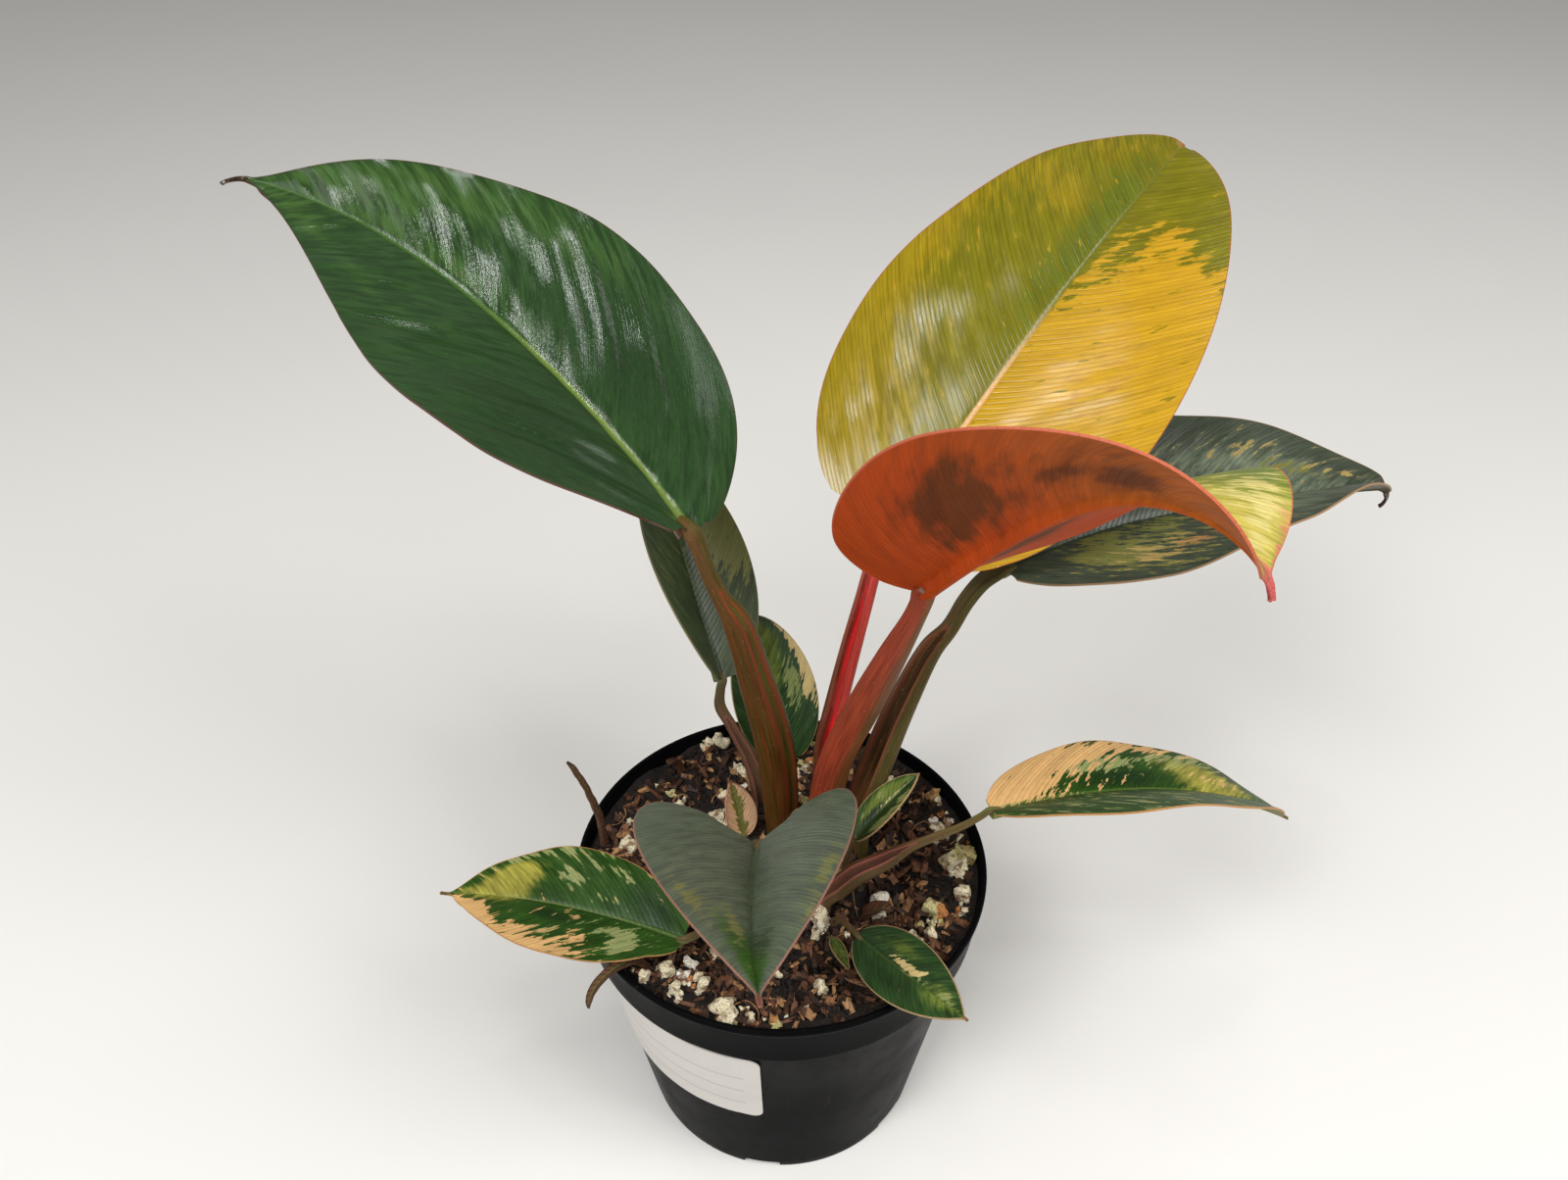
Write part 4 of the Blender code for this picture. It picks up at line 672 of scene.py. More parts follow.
class Finish:
    """A material being mixed: each call adds nodes and returns an output, coat the material."""

    def __init__(self, name, roughness, gloss=0.35):
        self.material = bpy.data.materials.new(name)
        self.material.use_nodes = True
        self.tree = self.material.node_tree
        self.shader = self.tree.nodes["Principled BSDF"]
        self.shader.inputs["Roughness"].default_value = roughness
        self.shader.inputs["Specular IOR Level"].default_value = gloss

    def feed(self, socket, value):
        """Link an output, or set a number or colour, on an input."""
        if isinstance(value, bpy.types.NodeSocket):
            self.tree.links.new(value, socket)
        elif socket.type == "RGBA":
            socket.default_value = (*tuple(value)[:3], 1.0)
        else:
            socket.default_value = value

    def node(self, kind, **values):
        """Add a node and feed its inputs by their names."""
        made = self.tree.nodes.new("ShaderNode" + kind)
        for name, value in values.items():
            self.feed(made.inputs[name.replace("_", " ")], value)
        return made

    def place(self):
        """Where the surface is, on the piece's own coordinates, in metres."""
        return self.node("TexCoord").outputs["Object"]

    def uv(self, name):
        made = self.node("UVMap")
        made.uv_map = name
        return made.outputs["UV"]

    def attribute(self, name):
        made = self.node("Attribute")
        made.attribute_name = name
        return made.outputs["Fac"]

    def stretch(self, vector, scale):
        return self.node("Mapping", Vector=vector, Scale=scale).outputs["Vector"]

    def noise(self, vector, scale=1.0, detail=3.0, roughness=0.55):
        return self.node("TexNoise", Vector=vector, Scale=scale, Detail=detail,
                         Roughness=roughness).outputs["Fac"]

    def cells(self, vector, scale):
        return self.node("TexVoronoi", Vector=vector, Scale=scale).outputs["Distance"]

    def spread(self, value, low, high, to_low=0.0, to_high=1.0):
        """Ease a value from one range into another."""
        made = self.node("MapRange", Value=value, From_Min=low, From_Max=high, To_Min=to_low,
                         To_Max=to_high)
        made.interpolation_type = "SMOOTHSTEP"
        return made.outputs["Result"]

    def vary(self, value, least, most):
        """Ease a noise value from its usual range into least to most."""
        return self.spread(value, NOISE_LOW, NOISE_HIGH, least, most)

    def bands(self, vector, pitch, wander):
        """Parallel lines across a map's x, one to each pitch, that wander a little."""
        across = self.node("SeparateXYZ", Vector=vector).outputs["X"]
        phase = self.sum("MULTIPLY", across, math.tau / pitch)
        phase = self.sum("ADD", phase, self.sum("MULTIPLY", wander, LINE_WANDER))
        return self.sum("SINE", phase)

    def sum(self, operation, *values):
        made = self.node("Math")
        made.operation = operation
        for socket, value in zip(made.inputs, values):
            self.feed(socket, value)
        return made.outputs[0]

    def mix(self, share, first, second, blend="MIX"):
        made = self.node("Mix")
        made.data_type = "RGBA"
        made.blend_type = blend
        self.feed(made.inputs[0], share)
        self.feed(made.inputs[6], first)
        self.feed(made.inputs[7], second)
        return made.outputs[2]

    def shade(self, colour, amount):
        """Multiply a colour by a grey amount."""
        return self.mix(1.0, colour, amount, "MULTIPLY")

    def coat(self, colour, roughness=None, height=None, depth=0.0):
        """The material with its mixed colour, roughness and bumps, their depth in metres."""
        self.feed(self.shader.inputs["Base Color"], colour)
        if roughness is not None:
            self.feed(self.shader.inputs["Roughness"], roughness)
        if height is not None:
            bump = self.node("Bump", Strength=1.0, Distance=depth, Height=height)
            self.feed(self.shader.inputs["Normal"], bump.outputs["Normal"])
        return self.material


def leaf_finish(leaf, settings):
    """Marbled leaf skin: flecks along the veins, midrib, margin and its own underside."""
    skin = leaf.skin
    finish = Finish(leaf.name + "_skin", skin.roughness, skin.gloss)
    veins = finish.uv("veins")
    broad = finish.noise(finish.stretch(veins, (2.4, 0.5, 1.0)), detail=2.0)
    patch = finish.noise(finish.stretch(veins, (4.0, 1.9, 1.0)), detail=3.0, roughness=0.6)
    ragged = finish.noise(finish.stretch(veins, (10.0, skin.fleck_grain, 1.0)), detail=3.0,
                          roughness=0.65)
    fine = finish.noise(finish.stretch(veins, (12.0, 0.35, 1.0)), detail=1.0)
    lines = finish.bands(veins, VEIN_LINE_PITCH, broad)
    tear = finish.sum("ADD", finish.vary(patch, -0.42, 0.42), finish.vary(ragged, -0.2, 0.2))

    def patches(kind, low, high, pull):
        """How far one kind of mark colours the leaf, torn along the veins by the pull."""
        torn = finish.sum("MULTIPLY_ADD", tear, pull, finish.attribute(kind))
        return finish.spread(torn, low, high)

    def flecks(kind):
        return patches(kind, 0.5 - skin.pale_soft, 0.5 + skin.pale_soft, skin.fleck_pull)

    colour = finish.mix(patches("light", 0.15, 0.85, 0.4), skin.green, skin.light)
    colour = finish.mix(patches("deep", 0.2, 0.8, 0.7), colour, skin.deep)
    colour = finish.shade(colour, finish.vary(patch, 1.0 - skin.mottle, 1.0 + skin.mottle))
    colour = finish.mix(flecks("sage"), colour, skin.sage)
    cream = finish.mix(finish.spread(ragged, 0.35, 0.7), skin.pale, dimmed(skin.pale, 0.84))
    colour = finish.mix(flecks("pale"), colour, cream)
    colour = finish.mix(patches("rose", 0.2, 0.8, 0.6), colour, skin.rose)
    colour = finish.shade(colour, finish.spread(lines, 0.55, 1.0, 1.0, 1.0 - skin.vein_shade))
    colour = finish.shade(colour, finish.spread(fine, 0.35, 0.65, 0.94, 1.05))
    colour = finish.shade(colour, finish.vary(broad, 0.9, 1.08))
    rib = finish.spread(finish.attribute("from_rib"), 0.5, 1.15, 1.0, 0.0)
    rib_colour = finish.mix(finish.spread(finish.attribute("run"), 0.3, 0.6), skin.rib, skin.rib_far)
    rib_colour = finish.shade(rib_colour, finish.vary(ragged, 0.86, 1.1))
    colour = finish.mix(finish.sum("MULTIPLY", rib, skin.rib_share), colour, rib_colour)

    cloud = finish.noise(finish.stretch(veins, (2.2, 1.6, 1.0)), detail=3.0)
    blotch = finish.sum("MULTIPLY_ADD", finish.vary(cloud, -0.5, 0.5), 0.5, finish.attribute("deep"))
    under = skin.under
    # Painted shade: the underside turns to its far colour from 0.4 to 0.8 of the way along the leaf.
    if skin.under_far_shade:
        under = finish.mix(finish.spread(finish.attribute("run"), 0.4, 0.8), under, skin.under_far_shade)
    under = finish.mix(finish.spread(blotch, 0.1, 0.9), under, skin.under_deep)
    under = finish.shade(under, finish.vary(fine, 0.94, 1.04))
    under = finish.shade(under, finish.vary(broad, 0.86, 1.08))
    under = finish.mix(finish.sum("MULTIPLY", rib, 0.4), under, skin.under)
    colour = finish.mix(finish.attribute("under"), colour, under)

    edge = finish.spread(finish.attribute("from_margin"), settings.margin_width * 0.35,
                         settings.margin_width, 0.85, 0.0)
    colour = finish.mix(edge, colour, skin.margin)
    colour = finish.mix(finish.attribute("tip"), colour, skin.tip)

    crinkle = finish.noise(finish.stretch(veins, (26.0, 10.0, 1.0)), detail=2.0)
    upper_side = finish.vary(patch, skin.roughness - 0.04, skin.roughness + 0.08)
    dull = finish.sum("MULTIPLY_ADD", finish.attribute("under"), 0.14, upper_side)
    sunken_lines = finish.spread(lines, 0.4, 1.0, 0.0, -skin.line_relief)
    height = finish.sum("MULTIPLY_ADD", crinkle, skin.crinkle, sunken_lines)
    return finish.coat(colour, dull, height, 0.00014)


def stalk_finish(stalk):
    """Stalk skin: fine lengthwise streaks, a darker groove and coloured sheath edges."""
    finish = Finish(stalk.name + "_skin", 0.38)
    grain = finish.uv("grain")
    streak = finish.noise(finish.stretch(grain, (26.0, 0.7, 1.0)), detail=4.0, roughness=0.6)
    blush = finish.noise(finish.stretch(grain, (9.0, 0.35, 1.0)), detail=3.0)
    colour = finish.mix(finish.spread(blush, 0.38, 0.62), stalk.main, stalk.shade)
    colour = finish.mix(finish.attribute("upper_part"), colour, stalk.top)
    colour = finish.mix(finish.sum("MULTIPLY", finish.attribute("flank"), 0.75), colour, stalk.flank)
    groove = finish.mix(finish.spread(blush, 0.4, 0.65), stalk.inside, stalk.lining)
    colour = finish.mix(finish.attribute("groove"), colour, groove)
    colour = finish.shade(colour, finish.vary(streak, 0.66, 1.22))
    colour = finish.mix(finish.attribute("edge"), colour, stalk.edge)
    colour = finish.mix(finish.attribute("scar"), colour, SCAR_GREY)
    flecks = finish.spread(finish.noise(finish.stretch(grain, (30.0, 9.0, 1.0)), detail=2.0),
                           0.67, 0.73, 0.0, 0.5)
    colour = finish.mix(flecks, colour, STALK_FLECK)
    finish.shader.inputs["IOR"].default_value = 1.3
    return finish.coat(colour, finish.vary(streak, 0.34, 0.5), streak, 0.00025)


def earth_finish(earth):
    """Moist peat: near black with browner fibres and a rough, crumbly surface."""
    finish = Finish("moist_peat", 0.85)
    place = finish.place()
    crumbs = finish.noise(place, scale=900.0, detail=5.0, roughness=0.65)
    patches = finish.noise(place, scale=160.0, detail=2.0)
    colour = finish.mix(finish.spread(crumbs, 0.42, 0.72), tuple(earth), dimmed(earth, 2.6))
    colour = finish.shade(colour, finish.vary(patches, 0.6, 1.15))
    return finish.coat(colour, finish.vary(crumbs, 0.65, 0.95), crumbs, 0.0006)


def bark_finish(bark):
    """Bark chips: reddish brown to near black, fibrous and a little shiny when moist."""
    finish = Finish("bark_chip", 0.7)
    place = finish.place()
    tint = finish.attribute("tint")
    grain = finish.noise(finish.stretch(place, (1500.0, 500.0, 900.0)), detail=3.0)
    colour = finish.mix(finish.spread(tint, 0.3, 0.85), dimmed(bark, 0.2), tuple(bark))
    colour = finish.mix(finish.spread(tint, 0.8, 0.94), colour, SPLIT_WOOD)
    colour = finish.shade(colour, finish.vary(grain, 0.5, 1.35))
    return finish.coat(colour, finish.vary(grain, 0.5, 0.85), grain, 0.0004)


def perlite_finish(perlite):
    """Perlite: foamy pale grains, some cream and some yellow-green with algae."""
    finish = Finish("perlite_grain", 0.8)
    place = finish.place()
    tint = finish.attribute("tint")
    pores = finish.cells(place, 1900.0)
    stain = finish.noise(place, scale=420.0, detail=3.0)
    colour = finish.mix(finish.spread(tint, 0.72, 0.8, 0.0, 0.8), tuple(perlite), ALGAE)
    colour = finish.mix(finish.spread(tint, 0.0, 0.3, 0.8, 0.0), colour, CHALK)
    colour = finish.mix(finish.spread(tint, 0.86, 0.93), colour, RUST_GRAIN)
    colour = finish.mix(finish.spread(stain, 0.5, 0.66, 0.0, 0.85), colour, PEAT_STAIN)
    # Painted shade: the pits of the foam are darkened, as shade falls in them.
    colour = finish.shade(colour, finish.spread(pores, 0.05, 0.4, 0.62, 1.0))
    return finish.coat(colour, height=pores, depth=0.0004)


def pot_finish(plastic):
    """Black nursery plastic: satin, with faint scuffs and dust."""
    finish = Finish("nursery_plastic", 0.35)
    finish.shader.inputs["IOR"].default_value = 1.08
    place = finish.place()
    scuffs = finish.noise(finish.stretch(place, (260.0, 260.0, 34.0)), detail=4.0, roughness=0.7)
    dust = finish.noise(place, scale=75.0, detail=5.0, roughness=0.7)
    grain = finish.noise(place, scale=2600.0, detail=1.0)
    colour = finish.mix(finish.spread(dust, 0.55, 0.8, 0.0, 0.04), tuple(plastic), DUST)
    colour = finish.mix(finish.spread(scuffs, 0.64, 0.72, 0.0, 0.05), colour, SCUFF)
    satin = finish.spread(dust, 0.3, 0.75, 0.3, 0.42)
    height = finish.sum("ADD", grain, finish.sum("MULTIPLY", scuffs, 0.6))
    return finish.coat(colour, satin, height, 0.00001)


def sticker_finish(colour):
    """A plain coated paper label with soft smudges and three ruled lines."""
    finish = Finish("coated_paper", 0.48)
    place = finish.place()
    pulp = finish.noise(place, scale=1400.0, detail=3.0)
    smudge = finish.noise(finish.stretch(place, (60.0, 60.0, 90.0)), detail=4.0)
    paper = finish.shade(tuple(colour), finish.vary(pulp, 0.95, 1.0))
    paper = finish.mix(finish.spread(smudge, 0.55, 0.8, 0.0, 0.35), paper, SMUDGE)
    rules = finish.spread(finish.attribute("rule"), 0.45, 0.6, 0.0, 0.55)
    paper = finish.mix(rules, paper, RULE_GREY)
    return finish.coat(paper, finish.vary(smudge, 0.4, 0.55), pulp, 0.00003)


def floor_finish(colour):
    """A pale matt floor, clouded a little."""
    finish = Finish("pale_floor", 0.6)
    soft = finish.noise(finish.place(), scale=3.0, detail=2.0)
    return finish.coat(finish.shade(tuple(colour), finish.vary(soft, 0.98, 1.0)))


# Modelling helpers

def deselect_all():
    """Leave nothing selected, so that an operator acts on the new piece alone."""
    for thing in bpy.context.selected_objects:
        thing.select_set(False)
    bpy.context.view_layer.objects.active = None


def pick(piece):
    deselect_all()
    piece.select_set(True)
    bpy.context.view_layer.objects.active = piece


def apply_modifiers(piece):
    pick(piece)
    for step in list(piece.modifiers):
        bpy.ops.object.modifier_apply(modifier=step.name)


def round_edges(piece, width):
    rounding = piece.modifiers.new("rounded_edges", "BEVEL")
    rounding.width = width
    rounding.segments = 3
    return rounding


def smooth(piece, angle):
    pick(piece)
    bpy.ops.object.shade_smooth_by_angle(angle=math.radians(angle))


def dress(piece, material, slot, *nodes):
    """Give a finished piece its material, its body and the nodes it stands for. Its slot is not used.
    """
    piece.data.materials.clear()
    piece.data.materials.append(material)
    if nodes:
        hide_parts(*nodes)
    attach(piece, "root")


def add_attribute(mesh, name, values):
    """Keep one number per vertex for the material to read."""
    layer = mesh.attributes.new(name, "FLOAT", "POINT")
    layer.data.foreach_set("value", values)


def add_attributes(mesh, traits):
    for name, values in traits.items():
        add_attribute(mesh, name, values)


def keep(traits, *values):
    """Add one vertex's values to the lists of its traits, in their order."""
    for kept, value in zip(traits.values(), values):
        kept.append(value)


def add_uv(mesh, name, places):
    """Lay a UV map from one (x, y) per vertex."""
    layer = mesh.uv_layers.new(name=name)
    flat = []
    for loop in mesh.loops:
        flat.extend(places[loop.vertex_index])
    layer.uv.foreach_set("vector", flat)


def mesh_piece(name, corners, faces):
    """A piece from corners and faces worked out by formula."""
    mesh = bpy.data.meshes.new(name)
    mesh.from_pydata(corners, [], faces)
    mesh.update()
    piece = bpy.data.objects.new(name, mesh)
    bpy.context.collection.objects.link(piece)
    return piece


def tube_faces(first, rings, sides):
    """The faces of a closed tube whose corners go round ring by ring from the first one."""
    faces = []
    for ring in range(rings):
        near, far = first + ring * sides, first + (ring + 1) * sides
        for side in range(sides):
            after = (side + 1) % sides
            faces.append((near + side, near + after, far + after, far + side))
    faces.append(tuple(first + side for side in reversed(range(sides))))
    faces.append(tuple(first + rings * sides + side for side in range(sides)))
    return faces


def raise_shell(name, sides, steps):
    """Raise a closed turned shell through (radius, height) steps from a filled circle."""
    deselect_all()
    radius, height = steps[0]
    bpy.ops.mesh.primitive_circle_add(vertices=sides, radius=radius, fill_type="NGON",
                                      calc_uvs=False, location=(0.0, 0.0, height))
    piece = bpy.context.active_object
    piece.name = piece.data.name = name
    bpy.ops.object.transform_apply(location=True, rotation=False, scale=False)
    bpy.ops.object.mode_set(mode="EDIT")
    bpy.ops.mesh.select_all(action="SELECT")
    for next_radius, next_height in steps[1:]:
        bpy.ops.mesh.extrude_region_move(
            TRANSFORM_OT_translate={"value": (0.0, 0.0, next_height - height)})
        ratio = next_radius / radius
        bpy.ops.transform.resize(value=(ratio, ratio, 1.0), center_override=(0.0, 0.0, next_height))
        radius, height = next_radius, next_height
    bpy.ops.mesh.select_all(action="SELECT")
    bpy.ops.mesh.normals_make_consistent(inside=False)
    bpy.ops.object.mode_set(mode="OBJECT")
    return piece


def wall_radius(height):
    """Outer radius of the pot's wall below the band."""
    return POT_FOOT_RADIUS + (NECK_RADIUS - POT_FOOT_RADIUS) * height / NECK_HEIGHT


# Leaves

def direction(leaf, u):
    """Unit vector along the midrib at u, with the hook at the very tip."""
    hooked = max(0.0, u - 1.0 + leaf.tip_share / 2) / (leaf.tip_share * 1.5)
    heading = math.radians(leaf.heading + leaf.turn * u + leaf.hook_turn * hooked)
    rise = math.radians(leaf.rise - leaf.droop * u ** leaf.droop_power - leaf.hook * hooked)
    return Vector((math.cos(rise) * math.cos(heading), math.cos(rise) * math.sin(heading),
                   math.sin(rise)))


def across_frame(leaf, u):
    """The unit vectors to the leaf's left and out of its upper face at u."""
    heading = math.radians(leaf.heading + leaf.turn * u)
    along = direction(leaf, u)
    left = Vector((-math.sin(heading), math.cos(heading), 0.0))
    left = (left - along * left.dot(along)).normalized()
    upper = along.cross(left)
    roll = math.radians(leaf.roll + leaf.twist * u)
    return (left * math.cos(roll) + upper * math.sin(roll),
            upper * math.cos(roll) - left * math.sin(roll))


def midrib_point(leaf, u):
    place = Vector(leaf.base)
    step = u / MIDRIB_STEPS
    for index in range(MIDRIB_STEPS):
        place += direction(leaf, (index + 0.5) * step) * (leaf.length * step)
    return place


def half_width(leaf, u):
    """Distance from the midrib to the margin at u, drawn out into a fine tip."""
    widest = leaf.base_taper / (leaf.base_taper + leaf.tip_taper)
    peak = widest ** leaf.base_taper * (1 - widest) ** leaf.tip_taper
    share = min(BASE_WIDTH_SHARE + (1 - BASE_WIDTH_SHARE) * u, 1.0)
    blade = leaf.half_width * share ** leaf.base_taper * (1 - share) ** leaf.tip_taper / peak
    left_over = max(0.0, 1.0 + leaf.tip_share - u) / (2 * leaf.tip_share)
    tip = leaf.tip_width * min(1.0, left_over) ** 0.6
    if u < 1.0 - 3 * leaf.tip_share:
        return blade
    return (blade ** 3 + tip ** 3) ** (1 / 3)


def mark_value(leaf, kind, u, v):
    """How strongly the marks of one kind colour the leaf at u and v, from 0 to 1."""
    total = 0.0
    for mark in leaf.marks.get(kind, ()):
        if mark.side * v < 0:
            continue
        away = ((u - mark.u) / mark.long) ** 2 + ((v - mark.v) / mark.wide) ** 2
        total += mark.strength * math.exp(-away)
    return clamp(total)


def leaf_row(leaf, share):
    """What the corners of a row share: u, centre, frame, half width and sweep."""
    u = (share - ROW_EASING * math.sin(math.tau * share)) * (1.0 + leaf.tip_share)
    left, upper = across_frame(leaf, u)
    sweep = leaf.sweep_base + (leaf.sweep_tip - leaf.sweep_base) * min(u, 1.0)
    return (u, midrib_point(leaf, u), direction(leaf, u), left, upper, half_width(leaf, u),
            math.radians(sweep * min(1.0, u / CALM_BASE)))


def relief(leaf, origin, sideways, side):
    """Height of the panels between the side veins and of the finer swellings on them.

    Origin is where the side vein through this place leaves the midrib.
    """
    warp = noise.noise(Vector((origin * 60, sideways * 18, side * 3))) * 0.9
    puff = abs(math.sin(math.pi * origin / leaf.vein_spacing + side * 0.6 + warp)) - 0.6
    swell = (noise.noise(Vector((origin * 85, sideways * 26, side * 7 + 2)))
             + 0.7 * noise.noise(Vector((origin * 190, sideways * 85, side * 7 + 5))))
    return leaf.vein_relief * puff + leaf.quilt * swell


def thicken(piece, ribs, thickness, rib_depth):
    """Give a blade its thickness, with the midrib standing out below."""
    group = piece.vertex_groups.new(name="rib")
    for index, weight in enumerate(ribs):
        group.add([index], weight, "REPLACE")
    flesh = piece.modifiers.new("flesh", "SOLIDIFY")
    flesh.thickness = thickness + rib_depth
    flesh.offset = -1.0
    flesh.vertex_group = group.name
    flesh.thickness_vertex_group = thickness / (thickness + rib_depth)
    apply_modifiers(piece)
    piece.vertex_groups.clear()
    under = [0.0 if index < len(ribs) else 1.0 for index in range(len(piece.data.vertices))]
    add_attribute(piece.data, "under", under)


def make_leaf(leaf, settings):
    """A thin closed blade with sunken veins, a groove over its midrib and a rib below."""
    deselect_all()
    bpy.ops.mesh.primitive_grid_add(x_subdivisions=leaf.rows, y_subdivisions=leaf.columns,
                                    size=1.0, calc_uvs=False)
    piece = bpy.context.active_object
    piece.name = piece.data.name = leaf.name + "_leaf"
    mesh = piece.data
    rows = {}
    corners, veins, ribs = [], [], []
    traits = {name: [] for name in ("from_rib", "from_margin", "tip", "run", *MARK_KINDS)}
    curl = math.radians(leaf.curl)
    for corner in mesh.vertices:
        along_share = corner.co.x + 0.5
        key = round(along_share * leaf.rows * 4)
        if key not in rows:
            rows[key] = leaf_row(leaf, along_share)
        u, centre, along, left, upper, width, sweep = rows[key]
        across = corner.co.y * 2
        side = 1.0 if across >= 0 else -1.0
        reach = min(1.0, abs(across)) ** COLUMN_EASING
        v = side * reach
        tip_lift, lift_power = leaf.lift_left if side > 0 else leaf.lift_right
        fold = math.radians(leaf.fold + tip_lift * min(u, 1.0) ** lift_power)
        bend = fold + curl * reach
        out = (math.sin(bend) - math.sin(fold)) / curl
        lift = (math.cos(fold) - math.cos(bend)) / curl
        normal = upper * math.cos(bend) - left * (side * math.sin(bend))
        ripple = leaf.wave * reach ** 2 * math.sin(math.tau * leaf.waves * u + side)
        sideways = width * math.cos(sweep) * reach
        ahead = width * math.sin(sweep) * reach
        lean = math.tan(math.radians(leaf.lean)) * (LEAN_AT_RIB + LEAN_GROWTH * reach)
        origin = u * leaf.length + ahead - sideways * lean
        body = math.sin(math.pi * reach) ** 0.7 if reach < 1 else 0.0
        from_side = sideways / MILLIMETRE
        rib_reach = leaf.rib_width * (RIB_END - RIB_TAPER * min(u, 1.0)) / MILLIMETRE
        groove = math.exp(-(from_side / (rib_reach * 0.8)) ** 2) * (1.0 - 0.8 * min(u, 1.0))
        wander = noise.noise(centre * 90 + normal * v * 3) * leaf.wave * 0.3 * reach
        place = (centre + (left * side * out + upper * lift) * (width * math.cos(sweep))
                 + along * ahead + upper * ripple
                 + normal * (relief(leaf, origin, sideways, side) * body + wander
                             - min(settings.groove_depth, width * GROOVE_LIMIT) * groove))
        if leaf.crumple:
            shift = noise.noise_vector(place * 420) + noise.noise_vector(place * 160) * 2
            place += shift * (leaf.crumple * min(1.0, u * 4) * 0.5)
        corners.append(place)
        veins.append((origin / CENTIMETRE, side * (sideways / CENTIMETRE + 0.2) + 5.0))
        ribs.append(math.exp(-(from_side / (rib_reach * 0.95)) ** 2) * max(0.0, RIB_END - u) ** 0.7)
        near_tip = clamp((u - 1.0 + leaf.tip_share * 0.7) / (leaf.tip_share * 0.9))
        keep(traits, from_side / rib_reach, (1.0 - reach) * width / MILLIMETRE, near_tip, u,
             *(mark_value(leaf, kind, u, v) for kind in MARK_KINDS))
    mesh.vertices.foreach_set("co", [part for corner in corners for part in corner])
    mesh.update()
    add_uv(mesh, "veins", veins)
    add_attributes(mesh, traits)
    thicken(piece, ribs, settings.thickness, leaf.rib_depth)
    smooth(piece, 60.0)
    dress(piece, leaf_finish(leaf, settings), leaf.slot, leaf.name)


# Stalks

def curve_point(points, share):
    """Point at a share of a smooth curve that runs through the given points."""
    position = share * (len(points) - 1)
    index = min(int(position), len(points) - 2)
    t = position - index
    start, end = points[index], points[index + 1]
    before = points[index - 1] if index > 0 else start * 2 - end
    after = points[index + 2] if index + 2 < len(points) else end * 2 - start
    return (start * (2 * t ** 3 - 3 * t ** 2 + 1) + end * (3 * t ** 2 - 2 * t ** 3)
            + (end - before) * ((t ** 3 - 2 * t ** 2 + t) / 2)
            + (after - start) * ((t ** 3 - t ** 2) / 2))


def sheath_opening(stalk, share):
    """How open the sheath is at a share of the stalk, its arch, what lies beyond, its seam."""
    if not stalk.sheath_end:
        return 0.0, 0.0, 1.0, stalk.seam
    to_end = (stalk.sheath_end - share) / stalk.sheath_end
    open_share = math.sqrt(clamp(to_end * SHEATH_CLOSING))
    arch = math.exp(-((to_end - ARCH_PLACE) / ARCH_LENGTH) ** 2)
    lean = clamp(share / stalk.sheath_end)
    seam = stalk.seam + (stalk.seam_top - stalk.seam) * lean ** 2
    return open_share, arch, clamp(-to_end * CHANNEL_START), seam


def make_stalk(stalk, leaf):
    """A leaf stalk whose lower part is a sheath, open along a groove that ends in an arch."""
    heading = math.radians(leaf.heading)
    level_left = Vector((-math.sin(heading), math.cos(heading), 0.0))
    points = [Vector(point) for point in stalk.path]
    points.append(Vector(leaf.base))
    widths = [Vector((width, 0.0, 0.0)) for width in stalk.half_widths]
    widths.append(widths[-1])
    blade_along = direction(leaf, 0.0)
    rib = leaf.rib_depth * 0.6
    points.append(midrib_point(leaf, 0.05) - across_frame(leaf, 0.05)[1] * rib)
    widths.append(widths[-1] * 0.6)
    corners, grain = [], []
    masks = {name: [] for name in ("groove", "edge", "flank", "upper_part", "scar")}
    run = 0.0
    last = None
    for ring in range(STALK_RINGS + 1):
        share = ring / STALK_RINGS
        centre = curve_point(points, share)
        if last is not None:
            run += (centre - last).length
        last = centre
        along = (curve_point(points, min(share + 0.01, 1.0))
                 - curve_point(points, max(share - 0.01, 0.0))).normalized()
        if share > BLADE_START:
            along = blade_along
        left = (level_left - along * level_left.dot(along)).normalized()
        upper = along.cross(left)
        half = curve_point(widths, share).x
        open_share, arch, beyond, seam = sheath_opening(stalk, share)
        mouth = stalk.mouth * open_share
        for side in range(STALK_SIDES):
            angle = math.tau * side / STALK_SIDES
            x = math.cos(angle)
            y = math.sin(angle) * stalk.depth_share
            groove = edge = 0.0
            if y > 0:
                y *= STALK_DEPTH
                if mouth > 0.02:
                    off = x - seam
                    groove = max(0.0, 1 - (off / mouth) ** 2)
                    edge = math.exp(-((abs(off) - mouth) / SHEATH_EDGE) ** 2)
                    y += stalk.ridge * edge - stalk.groove * groove ** 0.7 * open_share
                edge = max(edge * min(1.0, open_share * 2),
                           arch * math.exp(-((x - seam) / (stalk.mouth * 0.8)) ** 2))
                y -= CHANNEL_DEPTH * beyond * max(0.0, 1 - (x / 0.6) ** 2)
            corners.append(centre + (left * x + upper * y) * half)
            grain.append((angle * 0.3, run / CENTIMETRE))
            keep(masks, min(1.0, groove * 1.6) * open_share, edge * 0.9,
                 clamp(0.5 - (x - seam) * 2.5), clamp((share - 0.45) * 2.2),
                 stalk.scar * math.exp(-((share - SCAR_PLACE) / 0.018) ** 2))
    piece = mesh_piece(stalk.name + "_stem", corners, tube_faces(0, STALK_RINGS, STALK_SIDES))
    add_uv(piece.data, "grain", grain)
    add_attributes(piece.data, masks)
    smooth(piece, 60.0)
    dress(piece, stalk_finish(stalk), stalk.slot, stalk.name)


# Potting mix

